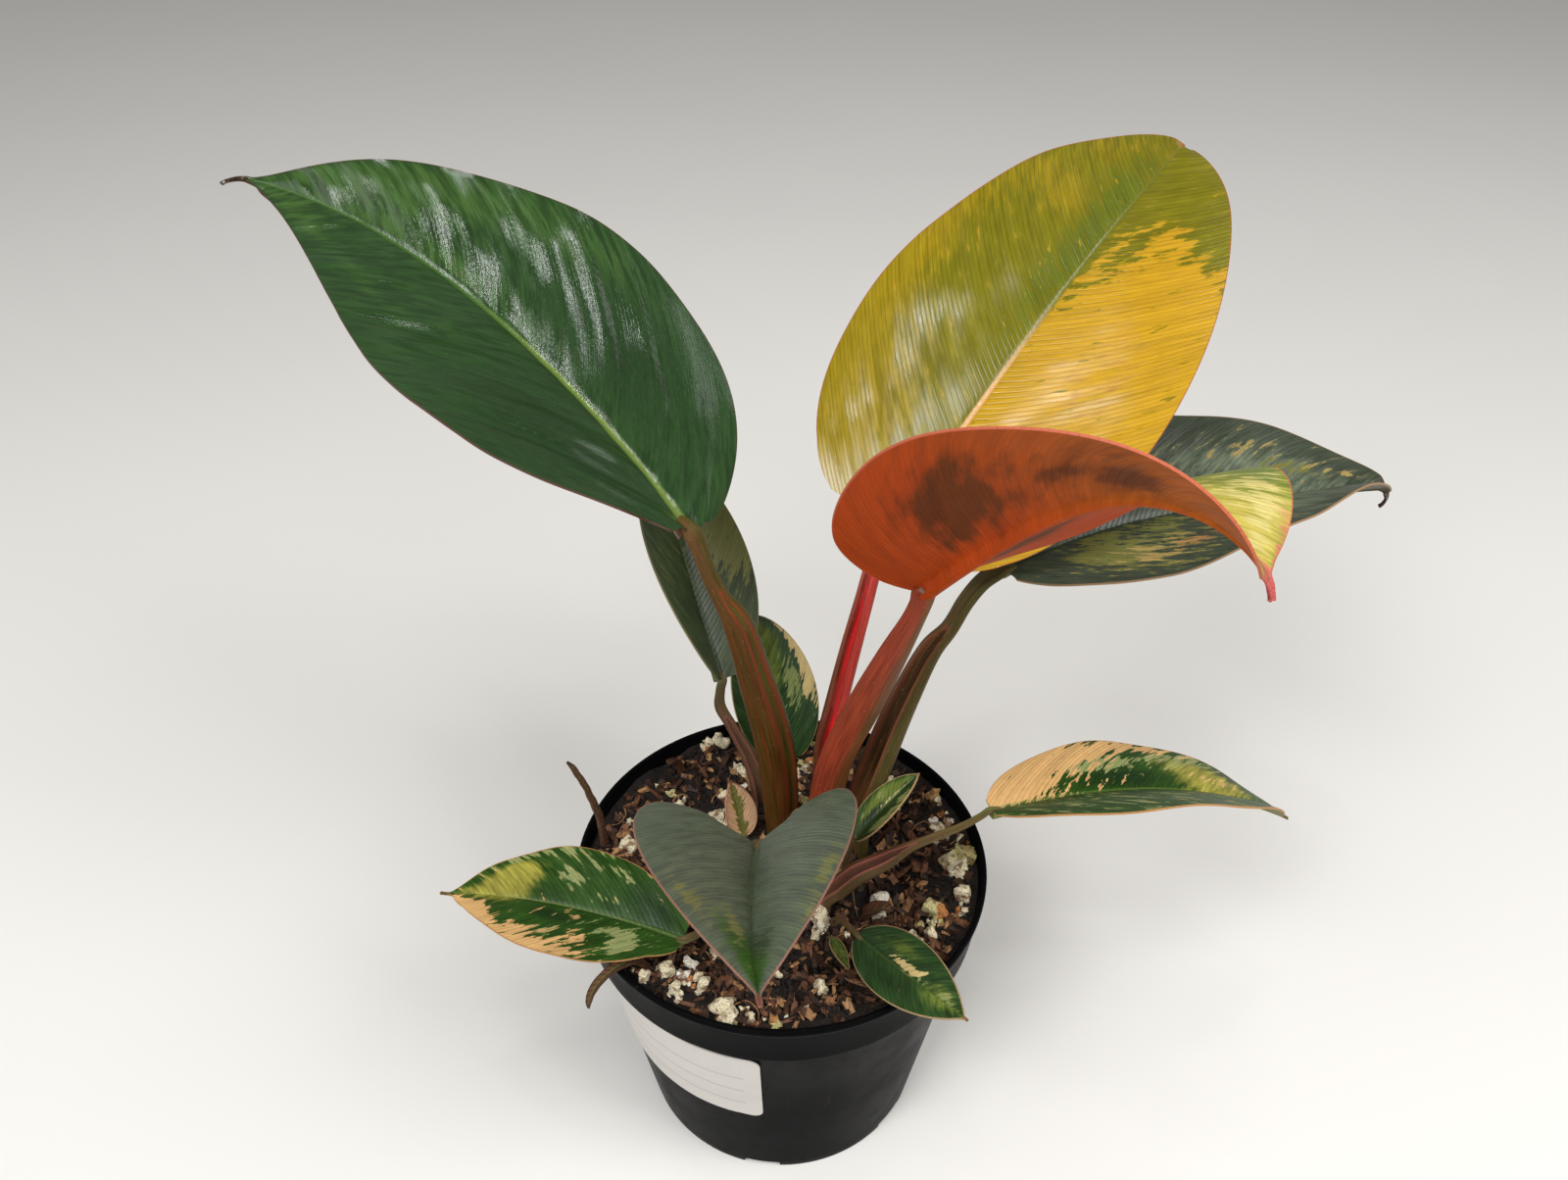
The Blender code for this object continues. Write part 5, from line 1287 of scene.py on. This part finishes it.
def soil_height(x, y):
    """Height of the potting mix, with low mounds and fine crumbs."""
    place = Vector((x, y, 0.0))
    climb = clamp((math.hypot(x, y) - SOIL_RISE_START) / (SOIL_REACH - SOIL_RISE_START))
    rise = SOIL_EDGE_RISE * climb * climb * (3 - 2 * climb)
    height = SOIL_TOP + rise
    for fineness, rough in SOIL_BUMPS:
        height += noise.noise(place * fineness) * rough
    return height


FIBRE_RINGS = 12
FIBRE_SIDES = 5
FIBRE_REST = 0.0006
FIBRE_TINT = 0.9
FIBRE_INSET = 0.002
GRAIN_INSET = 0.0004
STEM_ROOM = 0.0002
STEM_FEET = tuple((stalk.path[0][0], stalk.path[0][1], stalk.half_widths[0]) for stalk in STALKS)


def clear_of_stems(x, y, room):
    return all(math.hypot(x - foot_x, y - foot_y) > foot_radius + room
               for foot_x, foot_y, foot_radius in STEM_FEET)


def lump_shapes(name, kinds, subdivisions, jitter, seed, cube=False, soften=0.0):
    """A few small rough lumps, modelled once, as (corners, faces) to copy from.

    Soften rounds a rough cube into a blocky grain and roughens its skin by that much.
    """
    shapes = []
    for kind in range(kinds):
        deselect_all()
        if cube:
            bpy.ops.mesh.primitive_cube_add(size=1.6)
        else:
            bpy.ops.mesh.primitive_ico_sphere_add(subdivisions=subdivisions, radius=1.0)
        piece = bpy.context.active_object
        piece.name = f"{name}_{kind}"
        bpy.ops.object.mode_set(mode="EDIT")
        bpy.ops.mesh.select_all(action="SELECT")
        if cube:
            bpy.ops.mesh.subdivide(number_cuts=subdivisions)
        bpy.ops.transform.vertex_random(offset=jitter, uniform=0.2, seed=seed + kind)
        if soften:
            bpy.ops.mesh.subdivide(number_cuts=2, smoothness=0.9)
            bpy.ops.transform.vertex_random(offset=soften, uniform=0.2, seed=seed - kind)
        bpy.ops.object.mode_set(mode="OBJECT")
        mesh = piece.data
        shapes.append(([corner.co.copy() for corner in mesh.vertices],
                       [tuple(face.vertices) for face in mesh.polygons]))
        bpy.data.objects.remove(piece, do_unlink=True)
        bpy.data.meshes.remove(mesh)
    return shapes


def scatter(name, shapes, places):
    """Copy lumps to (shape index, matrix, tint) places as one piece."""
    corners, faces, tints = [], [], []
    for index, place, tint in places:
        first = len(corners)
        shape_corners, shape_faces = shapes[index]
        corners.extend(place @ corner for corner in shape_corners)
        faces.extend(tuple(first + corner for corner in face) for face in shape_faces)
        tints.extend([tint] * len(shape_corners))
    piece = mesh_piece(name, corners, faces)
    add_attribute(piece.data, "tint", tints)
    return piece


def strew(name, shapes, places, angle, material):
    """Copy lumps to their places as one finished piece of the potting mix."""
    piece = scatter(name, shapes, places)
    smooth(piece, angle)
    dress(piece, material, "soil_dark")


def scatter_places(draw, count, kinds, room, reach, sizes, tilt, sink, clumps=0.0):
    """Seeded places on the potting mix, off the stems and inside the pot.

    Clumps above 0 gather the places into loose groups.
    """
    places = []
    tries = 0
    while len(places) < count and tries < count * 40:
        tries += 1
        distance = reach * math.sqrt(draw.random())
        angle = draw.uniform(0, math.tau)
        x, y = distance * math.cos(angle), distance * math.sin(angle)
        if clumps and noise.noise(Vector((x * 95, y * 95, 4.0))) < clumps * draw.random():
            continue
        scale = sizes(draw)
        across = max(scale)
        if distance + across * 0.65 > reach or not clear_of_stems(x, y, room + across * 0.5):
            continue
        turn = (Matrix.Rotation(draw.uniform(0, math.tau), 4, "Z")
                @ Matrix.Rotation(draw.uniform(-tilt, tilt), 4, "Y")
                @ Matrix.Rotation(draw.uniform(-tilt, tilt), 4, "X"))
        lift = min(scale) * sink
        place = Matrix.Translation((x, y, soil_height(x, y) + lift)) @ turn
        places.append((draw.randrange(kinds), place @ Matrix.Diagonal((*scale, 1.0)), draw.random()))
    return places


def fibre_tubes(draw, count, reach):
    """Thin curved root fibres and needles lying on the mix, as corners and faces."""
    corners, faces = [], []
    for _ in range(count):
        distance = reach * math.sqrt(draw.random())
        angle = draw.uniform(0, math.tau)
        x, y = distance * math.cos(angle), distance * math.sin(angle)
        heading = draw.uniform(0, math.tau)
        bend = draw.uniform(-0.35, 0.35)
        length = draw.uniform(0.004, 0.013)
        radius = draw.uniform(0.00012, 0.00028)
        arch = draw.uniform(0.0, 0.0014)
        faces.extend(tube_faces(len(corners), FIBRE_RINGS, FIBRE_SIDES))
        for ring in range(FIBRE_RINGS + 1):
            share = ring / FIBRE_RINGS
            if math.hypot(x, y) < reach:
                x += math.cos(heading) * length / FIBRE_RINGS
                y += math.sin(heading) * length / FIBRE_RINGS
            heading += bend
            centre = Vector((x, y, soil_height(x, y) + FIBRE_REST + arch * math.sin(math.pi * share)))
            left = Vector((-math.sin(heading), math.cos(heading), 0.0))
            width = radius * (1.0 - 0.7 * share)
            for side in range(FIBRE_SIDES):
                turn = math.tau * side / FIBRE_SIDES
                corners.append(centre + left * (width * math.cos(turn))
                               + Vector((0.0, 0.0, width * math.sin(turn))))
    return corners, faces


# Each lamp: its name, place, width, height, the setting with its power and its share of it.
# The first five show in the gloss of the leaves.
LAMPS = (
    ("far_overhead_lamp", (0.05, -0.07, 1.12), 0.08, 0.05, "gloss_lamp", 0.25),
    ("overhead_lamp", (-0.05, -0.13, 1.12), 0.08, 0.05, "gloss_lamp", 0.8),
    ("near_overhead_lamp", (-0.15, -0.22, 1.12), 0.08, 0.05, "gloss_lamp", 0.8),
    ("right_lamp", (0.72, 0.46, 1.02), 0.26, 0.22, "gloss_lamp", 1.0),
    ("front_lamp", (0.0, -0.40, 1.04), 0.20, 0.12, "gloss_lamp", 2.0),
    ("left_key", (-0.5, -0.75, 1.15), 0.5, 0.5, "key", 1.0),
    ("right_key", (0.85, -0.45, 1.15), 0.7, 0.7, "key", 1.0),
    ("left_softbox", (-1.5, -0.9, 1.3), 1.3, 1.3, "sides", 1.0),
    ("right_softbox", (1.2, -1.1, 0.9), 1.3, 1.3, "sides", 0.7),
)


def add_softbox(name, place, width, height, power):
    """A soft rectangular lamp that looks at the plant."""
    lamp = bpy.data.lights.new(name, "AREA")
    lamp.shape = "RECTANGLE"
    lamp.size = width
    lamp.size_y = height
    lamp.energy = power
    softbox = bpy.data.objects.new(name, lamp)
    softbox.location = place
    aim = LAMP_TARGET - softbox.location
    softbox.rotation_euler = aim.to_track_quat("-Z", "Y").to_euler()
    bpy.context.collection.objects.link(softbox)


# Operators

class PLANT_OT_pot(bpy.types.Operator):
    """Raise the tapered nursery pot, round its edges and cut its drain slots"""

    bl_idname = "plant.pot"
    bl_label = "Nursery pot"

    def execute(self, context):
        settings = context.scene.plant_pot
        steps = [
            (POT_FOOT_RADIUS, 0.0),
            (wall_radius(ABOVE_SLOTS), ABOVE_SLOTS),
            (wall_radius(NECK_HEIGHT * 0.5), NECK_HEIGHT * 0.5),
            (NECK_RADIUS, NECK_HEIGHT),
            (BAND_FOOT_RADIUS, NECK_HEIGHT),
            (BAND_FOOT_RADIUS + STEP_WIDTH, NECK_HEIGHT + STEP_HEIGHT),
            (POT_RIM_RADIUS - BEAD_DEPTH, BEAD_FOOT),
            (POT_RIM_RADIUS, BEAD_TOP),
            (POT_RIM_RADIUS, LIP_FOOT),
            (POT_RIM_RADIUS - LIP_INSET, POT_HEIGHT),
            (POT_RIM_RADIUS - POT_WALL, POT_HEIGHT),
            (BAND_FOOT_RADIUS - POT_WALL, NECK_HEIGHT + POT_WALL),
            (NECK_RADIUS - POT_WALL, NECK_HEIGHT - POT_WALL / 2),
            (wall_radius(POT_FLOOR) - POT_WALL, POT_FLOOR),
        ]
        pot = raise_shell("nursery_pot", settings.sides, steps)
        rounding = round_edges(pot, settings.edge_round)
        rounding.limit_method = "ANGLE"
        rounding.angle_limit = math.radians(30)
        apply_modifiers(pot)
        cutters = []
        for index in range(SLOT_COUNT):
            angle = math.radians(SLOT_FIRST_ANGLE + index * 360.0 / SLOT_COUNT)
            deselect_all()
            bpy.ops.mesh.primitive_cube_add(
                size=1.0, calc_uvs=False, scale=(2 * SLOT_DEPTH, SLOT_WIDTH, 2 * SLOT_HEIGHT),
                location=(POT_FOOT_RADIUS * math.cos(angle),
                          POT_FOOT_RADIUS * math.sin(angle), 0.0),
                rotation=(0.0, 0.0, angle))
            cutter = context.active_object
            round_edges(cutter, SLOT_ROUND)
            bpy.ops.object.transform_apply()
            apply_modifiers(cutter)
            cutters.append(cutter)
        for cutter in cutters:
            cut = pot.modifiers.new("drain_slot", "BOOLEAN")
            cut.operation = "DIFFERENCE"
            cut.solver = "EXACT"
            cut.object = cutter
        apply_modifiers(pot)
        for cutter in cutters:
            bpy.data.objects.remove(cutter, do_unlink=True)
        smooth(pot, 35.0)
        dress(pot, pot_finish(settings.plastic), "pot_black", "pot")
        return {"FINISHED"}


class PLANT_OT_sticker(bpy.types.Operator):
    """Wrap the plain white sticker with rounded corners on the pot's wall"""

    bl_idname = "plant.sticker"
    bl_label = "Plain label"

    def execute(self, context):
        settings = context.scene.plant_pot
        deselect_all()
        bpy.ops.mesh.primitive_grid_add(x_subdivisions=LABEL_COLUMNS,
                                        y_subdivisions=LABEL_ROWS, size=1.0)
        sticker = context.active_object
        sticker.name = sticker.data.name = "plain_sticker"
        corners, rules = [], []
        for corner in sticker.data.vertices:
            share = 0.5 - corner.co.y
            share = share - LABEL_EASING * math.sin(math.tau * share)
            height = LABEL_TOP - LABEL_HEIGHT * share
            from_edge = min(share, 1.0 - share) * LABEL_HEIGHT
            rise = max(0.0, LABEL_CORNER - from_edge)
            inset = LABEL_CORNER - math.sqrt(max(LABEL_CORNER ** 2 - rise ** 2, 0.0))
            radius = wall_radius(height) + LABEL_GAP
            reach = math.radians(LABEL_SPAN) / 2 - inset / radius
            middle = math.radians(LABEL_RIGHT_ANGLE - LABEL_SPAN / 2)
            angle = middle + 2 * corner.co.x * reach
            place = Vector((radius * math.cos(angle), radius * math.sin(angle), height))
            edge = max(0.0, 1 - (0.5 - abs(corner.co.x)) * 12)
            bubble = noise.noise(place * 130) * LABEL_BUBBLE
            out = Vector((math.cos(angle), math.sin(angle), 0.0))
            corners.append(place + out * (abs(bubble) + LABEL_EDGE_CURL * edge))
            line = max(math.exp(-((share - level) * RULED_FINENESS) ** 2) for level in RULED_LINES)
            rules.append(line if abs(corner.co.x) < RULED_REACH else 0.0)
        sticker.data.vertices.foreach_set("co", [part for corner in corners for part in corner])
        add_attribute(sticker.data, "rule", rules)
        sheet = sticker.modifiers.new("sheet", "SOLIDIFY")
        sheet.thickness = settings.sticker_thickness
        sheet.offset = 1.0
        apply_modifiers(sticker)
        smooth(sticker, 40.0)
        dress(sticker, sticker_finish(settings.sticker), "label_white", "label")
        return {"FINISHED"}


class PLANT_OT_potting_mix(bpy.types.Operator):
    """Fill the pot with peat, bark chips, perlite, crumbs and root fibres"""

    bl_idname = "plant.potting_mix"
    bl_label = "Potting mix"

    def execute(self, context):
        settings = context.scene.plant_soil
        inset = POT_WALL + FINE_GAP
        slope = (POT_RIM_RADIUS - BAND_FOOT_RADIUS) / BAND_HEIGHT
        floor = POT_FLOOR + FINE_GAP
        reach = BAND_FOOT_RADIUS - inset + slope * (SOIL_TOP + SOIL_EDGE_RISE - NECK_HEIGHT)
        steps = [(wall_radius(floor) - inset, floor),
                 (NECK_RADIUS - inset, NECK_HEIGHT - POT_WALL / 2),
                 (BAND_FOOT_RADIUS - inset - POT_WALL / 2, NECK_HEIGHT + POT_WALL)]
        steps += [(reach * (1 - ring / BED_RINGS), SOIL_TOP) for ring in range(BED_RINGS)]
        bed = raise_shell("peat_bed", BED_SIDES, steps)
        for corner in bed.data.vertices:
            if corner.co.z > SOIL_TOP - 0.00001:
                corner.co.z = soil_height(corner.co.x, corner.co.y)
        smooth(bed, 80.0)
        earth = earth_finish(settings.earth)
        dress(bed, earth, "soil_dark", "soil")
        draw = random.Random(SOIL_SEED)
        reach -= GRAIN_INSET

        def chip_size(d):
            return (d.uniform(0.0006, 0.0022) + 0.0036 * d.random() ** 3,
                    d.uniform(0.0003, 0.0013), d.uniform(0.00025, 0.0007))

        def crumb_size(d):
            size = d.uniform(0.0003, 0.0011)
            return (size, size * d.uniform(0.6, 1.0), size * d.uniform(0.5, 0.9))

        def grain_size(d):
            size = 0.0006 + 0.0022 * d.random() ** 1.9
            return (size, size * d.uniform(0.65, 1.0), size * d.uniform(0.6, 0.9))

        bark = bark_finish(settings.bark)
        chips = lump_shapes("chip", 6, 1, 0.42, 11, cube=True)
        places = scatter_places(draw, settings.bark_count, len(chips), STEM_ROOM, reach,
                                chip_size, 0.75, 1.1)
        strew("bark_chips", chips, places, 25.0, bark)

        crumbs = lump_shapes("crumb", 5, 1, 0.35, 23)
        places = scatter_places(draw, settings.crumb_count, len(crumbs), 0.0, reach,
                                crumb_size, 1.5, 0.5)
        strew("peat_crumbs", crumbs, places, 40.0, earth)

        grains = lump_shapes("grain", 8, 1, 0.55, 37, cube=True, soften=0.1)
        places = scatter_places(draw, settings.perlite_count, len(grains), STEM_ROOM, reach,
                                grain_size, 1.5, 0.7, 0.45)
        strew("perlite_grains", grains, places, 50.0, perlite_finish(settings.perlite))

        fibres = mesh_piece("root_fibres", *fibre_tubes(draw, settings.fibre_count,
                                                        reach - FIBRE_INSET))
        add_attribute(fibres.data, "tint", [FIBRE_TINT] * len(fibres.data.vertices))
        smooth(fibres, 60.0)
        dress(fibres, bark, "soil_dark")
        return {"FINISHED"}


class PLANT_OT_crown(bpy.types.Operator):
    """Model the stubby stem that the tall leaves grow from, mostly sunk in the mix"""

    bl_idname = "plant.crown"
    bl_label = "Crown"

    def execute(self, context):
        steps = [(CROWN_RADIUS * share, height) for share, height in CROWN_SIDES]
        dome_radius = steps[-1][0]
        steps += [(dome_radius * (1 - ring / DOME_RINGS), DOME_FOOT + DOME_HEIGHT * ring / DOME_RINGS)
                  for ring in range(1, DOME_RINGS)]
        crown = raise_shell("stem_crown", 72, steps)
        for corner in crown.data.vertices:
            place = corner.co.copy()
            rough = noise.noise(place * 260) * 0.0012 + noise.noise(place * 800) * 0.0005
            away = Vector((place.x, place.y, 0.0))
            away = away.normalized() if away.length > 0.0005 else Vector((0.0, 0.0, 0.0))
            corner.co += away * rough + Vector((CROWN_CENTRE[0], CROWN_CENTRE[1], rough))
        smooth(crown, 60.0)
        dress(crown, earth_finish(CROWN_BROWN), "crown_brown", "crown")
        return {"FINISHED"}


class PLANT_OT_leaves(bpy.types.Operator):
    """Shape every leaf blade, with its veins, midrib, margin and marbling"""

    bl_idname = "plant.leaves"
    bl_label = "Leaves"

    def execute(self, context):
        for leaf in LEAVES:
            make_leaf(leaf, context.scene.plant_leaf)
        return {"FINISHED"}


class PLANT_OT_stalks(bpy.types.Operator):
    """Grow the leaf stalks, with their open sheaths"""

    bl_idname = "plant.stalks"
    bl_label = "Leaf stalks"

    def execute(self, context):
        leaves = {leaf.name: leaf for leaf in LEAVES}
        for stalk in STALKS:
            make_stalk(stalk, leaves[stalk.leaf])
        return {"FINISHED"}


class PLANT_OT_dry_sheaths(bpy.types.Operator):
    """Curl the dry brown leaf sheaths that stand round the plant"""

    bl_idname = "plant.dry_sheaths"
    bl_label = "Dry sheaths"

    def execute(self, context):
        noise.seed_set(CRUMPLE_SEED)
        for scale in DRY_SCALES:
            make_leaf(scale, context.scene.plant_leaf)
        return {"FINISHED"}


class PLANT_OT_stage(bpy.types.Operator):
    """Lay the pale floor and set the soft lights and the camera"""

    bl_idname = "plant.stage"
    bl_label = "Stage"

    def execute(self, context):
        settings = context.scene.plant_stage
        deselect_all()
        bpy.ops.mesh.primitive_plane_add(size=FLOOR_SIZE)
        floor = context.active_object
        floor.name = floor.data.name = "pale_floor"
        floor.data.materials.append(floor_finish(settings.floor))

        sky = bpy.data.worlds.new("even_surround")
        sky.use_nodes = True
        surround = sky.node_tree.nodes["Background"]
        surround.inputs["Color"].default_value = WARM_WHITE
        surround.inputs["Strength"].default_value = settings.surround
        context.scene.world = sky
        context.scene.view_settings.view_transform = "Standard"

        for name, place, width, height, setting, share in LAMPS:
            add_softbox(name, place, width, height, getattr(settings, setting) * share)

        view = bpy.data.cameras.new("photo_view")
        view.lens = CAMERA_LENS
        view.sensor_width = SENSOR_WIDTH
        camera = bpy.data.objects.new("photo_view", view)
        camera.location = CAMERA_PLACE
        camera.rotation_euler = (math.radians(90.0 - CAMERA_PITCH), 0.0, 0.0)
        context.collection.objects.link(camera)
        context.scene.camera = camera
        return {"FINISHED"}


SETTINGS = (
    ("plant_pot", PotSettings),
    ("plant_soil", SoilSettings),
    ("plant_leaf", LeafSettings),
    ("plant_stage", StageSettings),
)

STEPS = (PLANT_OT_pot, PLANT_OT_sticker, PLANT_OT_potting_mix, PLANT_OT_crown,
         PLANT_OT_leaves, PLANT_OT_stalks, PLANT_OT_dry_sheaths, PLANT_OT_stage)


class PLANT_PT_pieces(bpy.types.Panel):
    """Every piece of the plant, with its settings"""

    bl_idname = "PLANT_PT_pieces"
    bl_label = "Potted philodendron"
    bl_space_type = "VIEW_3D"
    bl_region_type = "UI"
    bl_category = "Plant"

    def draw(self, context):
        for name, group in SETTINGS:
            box = self.layout.box()
            box.label(text=group.__doc__)
            for setting in group.__annotations__:
                box.prop(getattr(context.scene, name), setting)
        for step in STEPS:
            self.layout.operator(step.bl_idname)


def register():
    for name, group in SETTINGS:
        bpy.utils.register_class(group)
        setattr(bpy.types.Scene, name, bpy.props.PointerProperty(type=group))
    for step in STEPS:
        bpy.utils.register_class(step)
    bpy.utils.register_class(PLANT_PT_pieces)


def unregister():
    bpy.utils.unregister_class(PLANT_PT_pieces)
    for step in reversed(STEPS):
        bpy.utils.unregister_class(step)
    for name, group in reversed(SETTINGS):
        delattr(bpy.types.Scene, name)
        bpy.utils.unregister_class(group)


def main():
    register()
    bpy.ops.plant.pot()
    bpy.ops.plant.sticker()
    bpy.ops.plant.potting_mix()
    bpy.ops.plant.crown()
    bpy.ops.plant.leaves()
    bpy.ops.plant.stalks()
    bpy.ops.plant.dry_sheaths()
    bpy.ops.plant.stage()
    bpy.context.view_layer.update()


if __name__ == "__main__":
    main()
